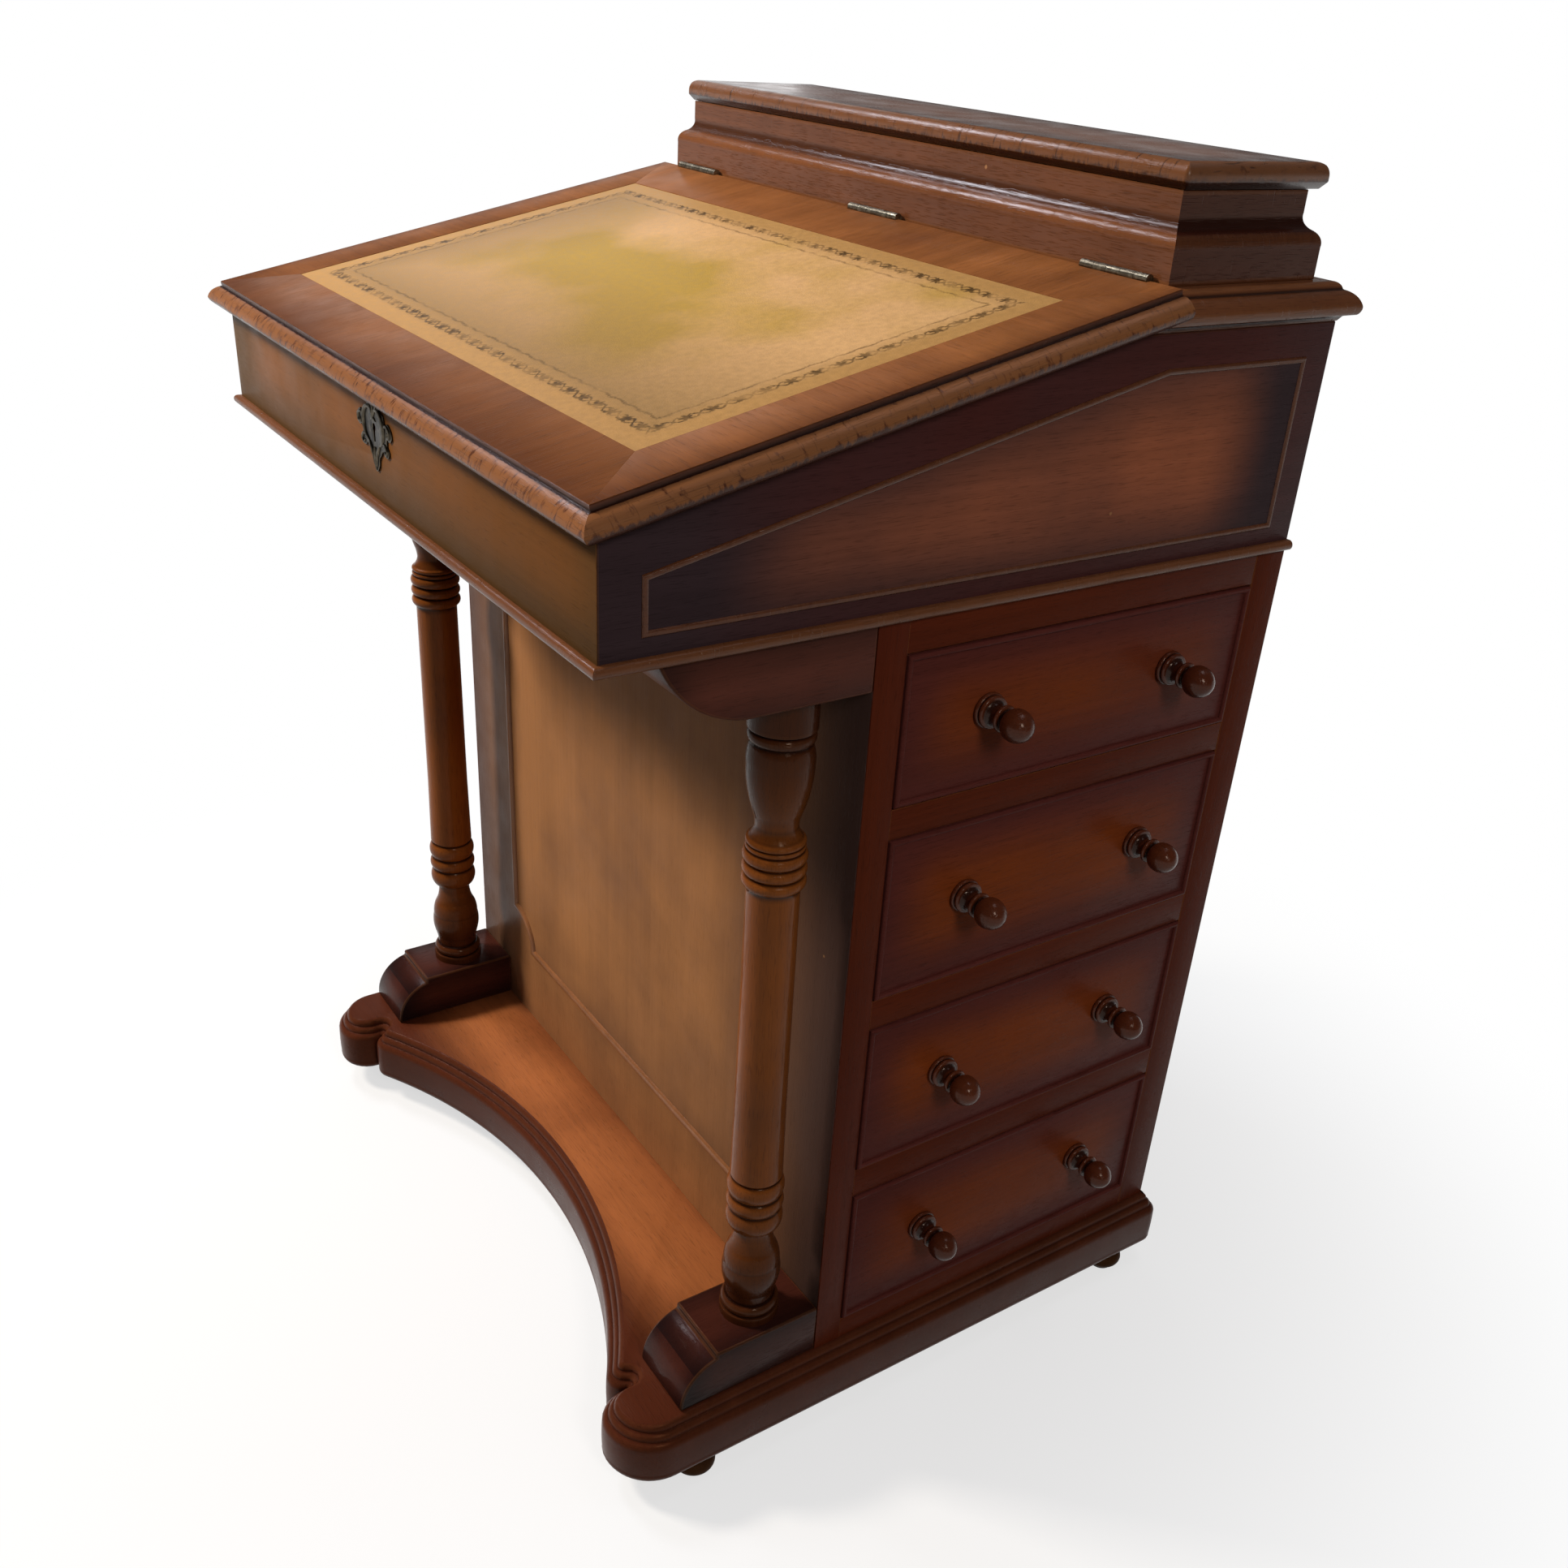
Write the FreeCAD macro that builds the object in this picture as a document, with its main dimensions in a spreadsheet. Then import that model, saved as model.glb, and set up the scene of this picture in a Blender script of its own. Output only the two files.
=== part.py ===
"""Davenport writing desk: pedestal with four side drawers, slope box, stationery gallery.

Millimetres. The origin is on the floor under the middle of the case, +Z is up, the
writer sits on the -Y side and the drawers open towards +X. Sizes that can be set
alone are cells of the sheet; every other size follows from them.
"""
import FreeCAD, Part
import math
import os
from types import SimpleNamespace

import Sketcher
from FreeCAD import Vector

doc = FreeCAD.newDocument("DavenportDesk")

CELLS = {
    # whole case
    "case_width": 540,
    "case_depth": 470,
    "slope_angle": 12.4,
    # base board and feet
    "foot_height": 24,
    "foot_radius": 15,
    "foot_inset": 17,
    "foot_back_inset": 37,
    "foot_front_setback": 82,
    "base_thickness": 40,
    "base_overhang": 12,
    "base_corner_radius": 10,
    "base_reed": 5,
    "base_reed_step": 4.5,
    "base_sweep_setback": 104,
    "base_curl_setback": 46.6,
    "base_curl_width": 18,
    "base_notch_setback": 53,
    "base_lobe_width": 57,
    "base_lobe_round": 34,
    "base_lobe_setback": 25,
    # pedestal
    "pedestal_setback": 160,
    "pedestal_board": 20,
    "pedestal_side": 16,
    "back_thickness": 12,
    "rear_stile_width": 25,
    "dust_board": 8,
    "guide_height": 15,
    "panel_bead_side_margin": 72,
    "panel_bead_margin": 70,
    "panel_bead_corner": 32,
    "panel_bead_width": 7,
    "panel_bead_proud": 3,
    # toe blocks, columns and corbels, lengths counted forward from the pedestal
    "block_width": 53,
    "toe_height": 38,
    "toe_length": 104,
    "toe_step": 4,
    "toe_round": 26,
    "toe_bulge": 8,
    "corbel_height": 38,
    "corbel_length": 128,
    "corbel_reach": 51,
    "corbel_bulge": 9,
    "column_reach": 38,
    "column_radius": 19.8,
    # the stack of rails and drawer openings, from the top down
    "top_rail": 19.5,
    "drawer_1_height": 92.5,
    "rail_under_1": 19.3,
    "drawer_2_height": 109.7,
    "rail_under_2": 20.5,
    "drawer_3_height": 110.5,
    "rail_under_3": 21.5,
    "drawer_4_height": 110.1,
    "rail_under_4": 17.4,
    # drawers
    "drawer_gap": 1,
    "running_gap": 0.3,
    "drawer_front_thickness": 18,
    "drawer_side_thickness": 9,
    "drawer_bottom_thickness": 6,
    "drawer_bottom_lift": 6,
    "drawer_back_drop": 10,
    "drawer_tail_gap": 46,
    "cock_bead": 3.5,
    "cock_bead_proud": 2,
    "knob_spacing": 142,
    "knob_lift": 3,
    "knob_spigot_radius": 5,
    "knob_spigot_play": 0.05,
    # slope box
    "box_side": 20,
    "box_front": 18,
    "box_back": 16,
    "box_bottom": 12,
    "side_bead_front": 22.5,
    "side_bead_back": 20,
    "side_bead_bottom": 15.5,
    "side_bead_drop": 18.5,
    "side_bead_width": 3.5,
    "side_bead_proud": 1.5,
    "ledge_drop": 2,
    "ledge_height": 21,
    # writing lid, measured from the kink line where its top meets the gallery
    "kink_inset": 130,
    "kink_rise": 157,
    "lid_thickness": 18,
    "lid_field_side": 2.5,
    "lid_rest_gap": 0.3,
    "leather_thickness": 1.2,
    "leather_side_margin": 16,
    "leather_back": 51,
    "leather_front_margin": 21.5,
    # butt hinges
    "hinge_axis_forward": 3,
    "hinge_length": 52,
    "hinge_leaf": 1.5,
    "hinge_leaf_depth": 9,
    "hinge_moving_depth": 6.5,
    "hinge_knuckle": 2.7,
    "hinge_pin": 1.25,
    "hinge_pin_play": 0.05,
    "hinge_knuckle_gap": 0.3,
    "hinge_end_margin": 2,
    "gallery_hinge_end_margin": 83,
    # lock
    "lock_width": 62,
    "lock_height": 38,
    "lock_depth": 14,
    "bolt_width": 18,
    "bolt_thickness": 5,
    "bolt_length": 20,
    "bolt_travel": 8,
    "bolt_play": 0.3,
    "key_drop": 17.5,
    "escutcheon_half_width": 27,
    "escutcheon_half_height": 16.5,
    "escutcheon_thickness": 2.2,
    # stationery gallery
    "gallery_side_margin": 11,
    "gallery_back_margin": 14,
    "partition_thickness": 16,
    "gallery_lid_thickness": 13.5,
    "gallery_lid_side_lap": 5,
    "gallery_lid_front_lap": 4,
    "gallery_lid_back_lap": 2,
    "gallery_lid_round": 7,
    "gallery_lid_chamfer": 4,
}

sheet = doc.addObject("Spreadsheet::Sheet", "dims")
for row, (alias, value) in enumerate(CELLS.items(), start=1):
    sheet.set("A%d" % row, alias)
    sheet.set("B%d" % row, str(value))
    sheet.setAlias("B%d" % row, alias)
doc.recompute()


class Size:
    """A length or angle: its present value and the sheet formula that drives it."""

    def __init__(self, value, formula):
        self.value = float(value)
        self.formula = formula

    def __add__(self, other):
        other = as_size(other)
        return Size(self.value + other.value, "(%s + %s)" % (self.formula, other.formula))

    def __sub__(self, other):
        other = as_size(other)
        return Size(self.value - other.value, "(%s - %s)" % (self.formula, other.formula))

    def __mul__(self, other):
        other = as_size(other)
        return Size(self.value * other.value, "(%s * %s)" % (self.formula, other.formula))

    def __truediv__(self, other):
        other = as_size(other)
        return Size(self.value / other.value, "(%s / %s)" % (self.formula, other.formula))

    def __neg__(self):
        return Size(-self.value, "(0 - %s)" % self.formula)

    __radd__ = __add__

    def __rmul__(self, other):
        return self * other

    def __rsub__(self, other):
        return as_size(other) - self


def as_size(number):
    return number if isinstance(number, Size) else Size(number, "%.6g" % number)


class Bend:
    """The arc of a leg given by its radius; hollow when it curves into the outline."""

    def __init__(self, radius, hollow=False):
        self.radius = radius
        self.hollow = hollow

    def rise(self, chord):
        rise = self.radius.value - math.sqrt(self.radius.value ** 2 - (chord / 2) ** 2)
        return -rise if self.hollow else rise


def trig(name, angle):
    value = getattr(math, name)(math.radians(angle.value))
    return Size(value, "%s(%s)" % (name, angle.formula))


def root(size):
    return Size(math.sqrt(size.value), "sqrt(%s)" % size.formula)


S = SimpleNamespace(**{alias: Size(value, "dims." + alias) for alias, value in CELLS.items()})
ZERO = as_size(0)


# --- helpers ---------------------------------------------------------------------

sub_parts = []


def keep(item, label):
    """Name a finished sub-part and put it on the list that is written out."""
    item.Label = label
    sub_parts.append(item)
    return item


def move(item, x=None, y=None, z=None):
    """Bind the position of an object to the sheet."""
    for axis, size in (("x", x), ("y", y), ("z", z)):
        if size is not None:
            item.setExpression(".Placement.Base." + axis, as_size(size).formula)
    return item


def tilt(item):
    """Lay an object drawn flat behind the kink line down on the writing slope."""
    item.Placement = FreeCAD.Placement(Vector(), FreeCAD.Rotation(Vector(1, 0, 0), 1))
    item.setExpression(".Placement.Rotation.Angle", S.slope_angle.formula)
    return move(item, y=kink_y, z=kink_z)


def board(label, x, y, z):
    """A squared board between pairs of planes."""
    box = doc.addObject("Part::Box", label)
    for name, (low, high) in zip(("Length", "Width", "Height"), (x, y, z)):
        box.setExpression(name, (as_size(high) - low).formula)
    return move(box, x[0], y[0], z[0])


def rod(label, radius, length, x, y, z):
    """A round bar along X."""
    bar = doc.addObject("Part::Cylinder", label)
    bar.Placement = FreeCAD.Placement(Vector(), FreeCAD.Rotation(Vector(0, 1, 0), 90))
    bar.setExpression("Radius", as_size(radius).formula)
    bar.setExpression("Height", as_size(length).formula)
    return move(bar, x, y, z)


def cut(label, base, tool):
    item = doc.addObject("Part::Cut", label)
    item.Base = base
    item.Tool = tool
    return item


def fuse(label, members):
    item = doc.addObject("Part::MultiFuse", label)
    item.Shapes = members
    return item


def group(label, members):
    """Several separate solids that share one node."""
    item = doc.addObject("Part::Compound", label)
    item.Links = members
    return item


def mirrored(label, source, normal=Vector(1, 0, 0), base=Vector()):
    item = doc.addObject("Part::Mirroring", label)
    item.Source = source
    item.Normal = normal
    item.Base = base
    return item


def origin_plane(body, role):
    return next(item for item in body.Origin.OriginFeatures if item.Role == role)


def new_body(label):
    body = doc.addObject("PartDesign::Body", label)
    body.AllowCompound = True
    return body


def pin_point(sketch, leg, end, h, v):
    """Bind one end of a leg to its two coordinates."""
    for kind, size in (("DistanceX", h), ("DistanceY", v)):
        index = sketch.addConstraint(Sketcher.Constraint(kind, -1, 1, leg, end, size.value))
        sketch.setExpression("Constraints[%d]" % index, size.formula)


def draw_circle(sketch, circle):
    """A bound circle, given as (h, v, radius)."""
    h, v, radius = (as_size(item) for item in circle)
    centre = Vector(h.value, v.value, 0)
    leg = sketch.addGeometry(Part.Circle(centre, Vector(0, 0, 1), radius.value), False)
    pin_point(sketch, leg, 3, h, v)
    index = sketch.addConstraint(Sketcher.Constraint("Radius", leg, radius.value))
    sketch.setExpression("Constraints[%d]" % index, radius.formula)


def draw_outline(sketch, points):
    """A closed outline of (h, v), (h, v, bulge) or (h, v, Bend) points, run anticlockwise.

    A bulge or bend shapes the leg that leaves its point. The bulge is the height of the
    arc, positive when it swells out of the outline.
    """
    corners = [(as_size(point[0]), as_size(point[1])) for point in points]
    shapes = [point[2] if len(point) == 3 else None for point in points]
    legs = []
    for corner, following, shape in zip(corners, corners[1:] + corners[:1], shapes):
        start = Vector(corner[0].value, corner[1].value, 0)
        end = Vector(following[0].value, following[1].value, 0)
        if shape is None:
            leg = sketch.addGeometry(Part.LineSegment(start, end), False)
            legs.append((leg, 1, 2))
            continue
        chord = end - start
        rise = shape.rise(chord.Length) if isinstance(shape, Bend) else as_size(shape).value
        side = Vector(chord.y, -chord.x, 0).normalize()
        middle = (start + end) / 2 + side * rise
        arc = Part.Arc(start, middle, end) if rise > 0 else Part.Arc(end, middle, start)
        leg = sketch.addGeometry(arc, False)
        legs.append((leg, 1, 2) if rise > 0 else (leg, 2, 1))
    for (leg, _, last), (after, after_first, _) in zip(legs, legs[1:] + legs[:1]):
        sketch.addConstraint(Sketcher.Constraint("Coincident", leg, last, after, after_first))
    for index, (leg, first, _) in enumerate(legs):
        corner = corners[index]
        following = corners[(index + 1) % len(corners)]
        shape = shapes[index]
        pin_point(sketch, leg, first, *corner)
        if shape is None:
            continue
        if isinstance(shape, Bend):
            radius = shape.radius
        else:
            bulge = as_size(shape)
            rise = bulge if bulge.value > 0 else -bulge
            dh = following[0] - corner[0]
            dv = following[1] - corner[1]
            radius = (dh * dh + dv * dv) / (8 * rise) + rise / 2
        number = sketch.addConstraint(Sketcher.Constraint("Radius", leg, radius.value))
        sketch.setExpression("Constraints[%d]" % number, radius.formula)


def sketch_in(body, role, outlines, offset=None):
    """A sketch on one of the body's own origin planes, set off along its normal."""
    sketch = body.newObject("Sketcher::SketchObject", body.Name + "_sketch")
    sketch.AttachmentSupport = (origin_plane(body, role), "")
    sketch.MapMode = "FlatFace"
    if offset is not None:
        sketch.setExpression(".AttachmentOffset.Base.z", as_size(offset).formula)
    for outline in outlines:
        if isinstance(outline, tuple):
            draw_circle(sketch, outline)
        else:
            draw_outline(sketch, outline)
    return sketch


def pad(body, role, outlines, low, high):
    """A pad between two planes square to the sketch's axis."""
    facing_minus = role == "XZ_Plane"
    offset = -as_size(high) if facing_minus else as_size(low)
    feature = body.newObject("PartDesign::Pad", body.Name + "_pad")
    feature.Profile = sketch_in(body, role, outlines, offset)
    feature.setExpression("Length", (as_size(high) - low).formula)
    return feature


def through_cut(body, role, outlines):
    """A pocket right through the body, both ways from the origin plane."""
    feature = body.newObject("PartDesign::Pocket", body.Name + "_pocket")
    feature.Profile = sketch_in(body, role, outlines)
    feature.Type = "ThroughAll"
    feature.Midplane = True
    return feature


def extruded(label, role, outlines, low, high, cuts=()):
    """A body padded from outlines, with pockets right through it."""
    body = new_body(label)
    pad(body, role, outlines, low, high)
    for cut_role, cut_outlines in cuts:
        through_cut(body, cut_role, cut_outlines)
    return body


def turned(label, legs, start_radius, along_x=False, total=None, full_radius=None):
    """A turned piece. Each leg is (length, radius it ends at, bulge of its arc or 0).

    With a total, the legs are shares of that length and of the full radius.
    """
    body = new_body(label)
    length_unit = as_size(1)
    radius_unit = as_size(1)
    outward = length_unit * (-1 if along_x else 1)
    if total is not None:
        length_unit = total / sum(leg[0] for leg in legs)
        radius_unit = full_radius / max([start_radius] + [leg[1] for leg in legs])
    outward = length_unit * (-1 if along_x else 1)
    here = ZERO
    radius = start_radius
    points = [(ZERO, ZERO)] if start_radius else []
    for length, end_radius, bulge in legs:
        corner = (here * length_unit, radius_unit * radius)
        points.append(corner + (outward * bulge,) if bulge else corner)
        here = here + length
        radius = end_radius
    points.append((here * length_unit, radius_unit * radius))
    points.append((here * length_unit, ZERO))
    if legs[-1][1] == 0:
        points.pop()
    if not along_x:
        points = [(point[1], point[0]) + tuple(point[2:]) for point in points]
    sketch = sketch_in(body, "XY_Plane" if along_x else "XZ_Plane", [points])
    feature = body.newObject("PartDesign::Revolution", label + "_turning")
    feature.Profile = sketch
    feature.ReferenceAxis = (sketch, ["H_Axis" if along_x else "V_Axis"])
    feature.Angle = 360
    return body


def repeated(body, role, spacing):
    """Make the body's last feature twice, a given distance apart."""
    pattern = body.newObject("PartDesign::LinearPattern", body.Name + "_pair")
    pattern.Originals = [body.Tip]
    pattern.Direction = (origin_plane(body, role), [""])
    pattern.setExpression("Length", spacing.formula)
    pattern.Occurrences = 2
    body.Tip = pattern
    return body


def sunk(body, outlines, top, depth):
    """A blind pocket that goes down from a level plane."""
    feature = body.newObject("PartDesign::Pocket", body.Name + "_recess")
    feature.Profile = sketch_in(body, "XY_Plane", outlines, top)
    feature.setExpression("Length", as_size(depth).formula)
    return feature


def faces_at(feature, axis, level):
    """Names of the faces whose middle lies at a level."""
    names = []
    for index, face in enumerate(feature.Shape.Faces, start=1):
        if abs(getattr(face.CenterOfMass, axis) - level.value) < 0.01:
            names.append("Face%d" % index)
    return names


def eased(body, axis, level, radius, kind="Fillet"):
    """Round or chamfer every edge of the faces at a level."""
    doc.recompute()
    base = body.Tip
    feature = body.newObject("PartDesign::" + kind, body.Name + "_" + kind.lower())
    feature.Base = (base, faces_at(base, axis, level))
    feature.setExpression("Radius" if kind == "Fillet" else "Size", radius.formula)
    return feature


def rectangle(h_low, h_high, v_low, v_high):
    return [(h_low, v_low), (h_high, v_low), (h_high, v_high), (h_low, v_high)]


def section(profile, edge, level, outward=1, height_unit=1):
    """A moulding's section, listed from the bottom inside round to the top inside."""
    placed = []
    for index, point in enumerate(profile):
        bulge = point[2:]
        if outward < 0:
            bulge = profile[index - 1][2:] if index else ()
        placed.append((edge + point[0] * outward, level + point[1] * height_unit) + tuple(bulge))
    return placed if outward > 0 else placed[::-1]


def mitre(x, x_sign, y, y_sign, width, runs_along):
    """The triangle that trims the end of a strip at its outer corner."""
    outer = (x + x_sign, y + y_sign)
    inner = (x - (width + 1) * x_sign, y - (width + 1) * y_sign)
    third = (inner[0], outer[1]) if runs_along == "y" else (outer[0], inner[1])
    return [outer, inner, third]


# --- main planes -----------------------------------------------------------------

half_width = S.case_width / 2
half_depth = S.case_depth / 2
front = -half_depth
back = half_depth
floor = S.foot_height + S.base_thickness
pedestal_front_y = front + S.pedestal_setback

# The drawer openings stand one on the other over their rails, the lowest being number 4.
drawer_spans = {}
level = floor
for number in (4, 3, 2, 1):
    low = level + getattr(S, "rail_under_%d" % number)
    level = low + getattr(S, "drawer_%d_height" % number)
    drawer_spans[number] = (low, level)
pedestal_top = level + S.top_rail
kink_y = back - S.kink_inset
kink_z = pedestal_top + S.kink_rise
slope_tan = trig("tan", S.slope_angle)
slope_cos = trig("cos", S.slope_angle)
slope_sin = trig("sin", S.slope_angle)


def slope_z(y, depth=ZERO):
    """Height of the writing slope at a given y, some depth under its top face."""
    return kink_z - (kink_y - y) * slope_tan - depth / slope_cos


# --- base board and feet ---------------------------------------------------------

base_half = half_width + S.base_overhang
base_front = front - S.base_overhang
base_back = back + S.base_overhang

# Fixed points and radii of the shaped front edge, right half.
notch = (base_half - S.base_lobe_width, base_front + S.base_notch_setback)
curl_start = (notch[0] - S.base_curl_width, base_front + S.base_curl_setback)
sweep_depth = S.base_sweep_setback - S.base_curl_setback
sweep_radius = (curl_start[0] * curl_start[0] + sweep_depth * sweep_depth) / (2 * sweep_depth)
curl_lean = (curl_start[0] / sweep_radius, 1 - sweep_depth / sweep_radius)
lobe_y = base_front + S.base_lobe_setback
lobe_peak = base_half - S.base_lobe_round


def tangent_radius(start, lean, end):
    """Radius of the circle that touches the start, centred along its lean, through the end."""
    dx = start[0] - end[0]
    dy = start[1] - end[1]
    return (dx * dx + dy * dy) / (-2 * (lean[0] * dx + lean[1] * dy))


curl_radius = tangent_radius(curl_start, curl_lean, notch)
lobe_inner_radius = tangent_radius((lobe_peak, lobe_y), (ZERO, as_size(1)), notch)
curl_centre = (
    curl_start[0] + curl_lean[0] * curl_radius,
    curl_start[1] + curl_lean[1] * curl_radius,
)
lobe_inner_centre = (lobe_peak, lobe_y + lobe_inner_radius)


def base_outline(inset):
    """The edge of the base board, drawn in by an inset all round."""
    curl_reach = inset / curl_radius
    lobe_reach = inset / lobe_inner_radius
    curl_end = tuple(a + (b - a) * curl_reach for a, b in zip(notch, curl_centre))
    lobe_start = tuple(a + (b - a) * lobe_reach for a, b in zip(notch, lobe_inner_centre))
    side = base_half - inset
    rear = base_back - inset
    shoulder_y = lobe_y + S.base_lobe_round
    notch_arc = [(curl_end, Bend(inset, hollow=True))] if inset.value else []
    right = [
        (
            (curl_start[0] + curl_lean[0] * inset, curl_start[1] + curl_lean[1] * inset),
            Bend(curl_radius - inset),
        ),
        *notch_arc,
        (lobe_start, Bend(lobe_inner_radius - inset)),
        ((lobe_peak, lobe_y + inset), Bend(S.base_lobe_round - inset)),
        ((side, shoulder_y), None),
        ((side, base_back - S.base_corner_radius), Bend(S.base_corner_radius - inset)),
        ((base_half - S.base_corner_radius, rear), None),
    ]
    # The left half runs back along the same points; each takes the bend that came before it.
    bends = [None] + [bend for _, bend in right[:-1]]
    left = [((-point[0], point[1]), bend) for (point, _), bend in zip(right, bends)][::-1]
    left[-1] = (left[-1][0], Bend(sweep_radius + inset, hollow=True))
    return [point if bend is None else point + (bend,) for point, bend in right + left]


reed = S.base_reed
base_board = new_body("base_board")
base_levels = [
    (S.foot_height, floor - 2 * reed, ZERO),
    (floor - 2 * reed, floor - reed, S.base_reed_step),
    (floor - reed, floor, 2 * S.base_reed_step),
]
for low, high, inset in base_levels:
    pad(base_board, "XY_Plane", [base_outline(inset)], low, high)
keep(base_board, "base_platform")

foot = turned(
    "foot",
    [(3, 10, 0), (11, 10, 4.5), (0, 8.5, 0), (4, 8.5, -0.8), (6, 13, 0)],
    9,
    total=S.foot_height,
    full_radius=S.foot_radius,
)
foot_front_y = base_front + S.foot_front_setback
repeated(foot, "Y_Axis", base_back - S.foot_back_inset - foot_front_y)
move(foot, x=base_half - S.foot_inset, y=foot_front_y)
keep(group("feet", [foot, mirrored("feet_left", foot)]), "button_feet")


# --- toe blocks, columns and corbels ---------------------------------------------

block_x = (half_width - S.block_width, half_width)
toe_top = floor + S.toe_height
toe_front = pedestal_front_y - S.toe_length
toe_block = extruded(
    "toe_block",
    "YZ_Plane",
    [[
        (toe_front, floor),
        (pedestal_front_y, floor),
        (pedestal_front_y, toe_top),
        (toe_front + S.toe_round, toe_top),
        (toe_front + S.toe_round, toe_top - S.toe_step, S.toe_bulge),
    ]],
    *block_x,
)
keep(toe_block, "toe_block_right")
keep(mirrored("toe_left", toe_block), "toe_block_left")

corbel_bottom = pedestal_top - S.corbel_height
corbel_front = pedestal_front_y - S.corbel_length
corbel = extruded(
    "corbel",
    "YZ_Plane",
    [[
        (corbel_front, pedestal_top, S.corbel_bulge),
        (corbel_front + S.corbel_reach, corbel_bottom),
        (pedestal_front_y, corbel_bottom),
        (pedestal_front_y, pedestal_top),
    ]],
    *block_x,
)
keep(corbel, "corbel_right")
keep(mirrored("corbel_mirror", corbel), "corbel_left")

COLUMN_TURNING = [
    (6, 19.8, 0),       # base disc
    (0, 17, 0),
    (8, 17, 2.2),       # bead
    (0, 15.8, 0),
    (1, 15.8, 0),
    (7, 16.6, 0),       # foot of the vase
    (7, 18.4, 0),
    (15, 18.5, 0.9),
    (11, 16.5, 0.6),
    (10, 13.2, -0.5),
    (10, 13.2, -0.5),   # neck
    (0, 16, 0),
    (15, 16, 2.4),      # three lower reeds
    (11, 16, 2.4),
    (14, 16, 2.4),
    (0, 15.5, 0),
    (2, 16.8, 0),
    (55, 16, 0),        # shaft
    (152, 15.5, 0),
    (2.5, 16, 0),
    (8, 16, 2.6),       # three upper reeds
    (8, 16, 2.6),
    (8, 16, 2.6),
    (0, 15.8, 0),
    (3.5, 15.8, 1.4),   # two thin reeds
    (3.5, 15.8, 1.4),
    (7, 12.4, -0.6),    # upper neck
    (9, 14.2, -0.4),
    (29, 19, 1.2),      # vase
    (11.5, 17.5, 0.6),
    (1.5, 16.5, 0),
    (7.5, 16.5, 2.4),   # bead
    (1, 18, 0),
    (0, 19.4, 0),
    (21, 19.4, 0),      # top cylinder
]
column = turned(
    "column",
    COLUMN_TURNING,
    19.8,
    total=corbel_bottom - toe_top,
    full_radius=S.column_radius,
)
move(column, x=half_width - S.block_width / 2, y=pedestal_front_y - S.column_reach, z=toe_top)
keep(column, "column_right")
keep(mirrored("column_mirror", column), "column_left")


# --- pedestal --------------------------------------------------------------------

opening_y = (pedestal_front_y + S.pedestal_board, back - S.rear_stile_width)
inner_left = S.pedestal_side - half_width
frame_x = (half_width - S.pedestal_board, half_width)
pedestal_back_y = back - S.back_thickness

keep(
    board(
        "front_board",
        (-half_width, half_width),
        (pedestal_front_y, opening_y[0]),
        (floor, pedestal_top),
    ),
    "pedestal_front",
)

bead_half = half_width - S.panel_bead_side_margin
bead_low = floor + S.panel_bead_margin
bead_high = pedestal_top - S.panel_bead_margin


def notched_panel(swell):
    """Rectangle with hollow corners, grown outward by a swell."""
    radius = S.panel_bead_corner - swell
    reach = root(radius * radius - swell * swell)
    side = bead_half + swell
    turn = bead_half - reach
    half_chord = (reach + swell) * math.sqrt(0.5)
    hollow = root(radius * radius - half_chord * half_chord) - radius
    low = bead_low - swell
    high = bead_high + swell
    return [
        (-turn, low),
        (turn, low, hollow),
        (side, bead_low + reach),
        (side, bead_high - reach, hollow),
        (turn, high),
        (-turn, high, hollow),
        (-side, bead_high - reach),
        (-side, bead_low + reach, hollow),
    ]


bead_face_y = pedestal_front_y - S.panel_bead_proud
panel_bead = extruded(
    "panel_bead",
    "XZ_Plane",
    [notched_panel(S.panel_bead_width / 2), notched_panel(-S.panel_bead_width / 2)],
    bead_face_y,
    pedestal_front_y,
)
eased(panel_bead, "y", bead_face_y, S.panel_bead_proud * 0.6, "Chamfer")
keep(panel_bead, "front_panel_bead")

drawers = [
    SimpleNamespace(
        name="drawer_%d" % number,
        low=low,
        high=high,
        knob_z=(low + high) / 2 + S.knob_lift,
    )
    for number, (low, high) in sorted(drawer_spans.items())
]
knob_middle = (opening_y[0] + opening_y[1]) / 2
knob_ys = (knob_middle - S.knob_spacing / 2, knob_middle + S.knob_spacing / 2)
spigot_hole = S.knob_spigot_radius + S.knob_spigot_play

spigot_holes = [(y, drawer.knob_z, spigot_hole) for drawer in drawers for y in knob_ys]
left_side = extruded(
    "left_board",
    "YZ_Plane",
    [rectangle(opening_y[0], back, floor, pedestal_top)] + spigot_holes,
    -half_width,
    inner_left,
)
keep(left_side, "pedestal_left_side")

shelf_tops = [drawer.low for drawer in drawers]
rail_gaps = [(drawers[0].high, pedestal_top)]
rail_gaps += [(lower.high, upper.low) for upper, lower in zip(drawers, drawers[1:])]
rail_gaps += [(floor, drawers[-1].low)]
frame_pieces = [
    board("rail_%d" % index, frame_x, opening_y, gap)
    for index, gap in enumerate(rail_gaps, start=1)
]
frame_pieces.append(board("rear_stile", frame_x, (opening_y[1], back), (floor, pedestal_top)))
keep(group("side_frame", frame_pieces), "drawer_side_frame")

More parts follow.
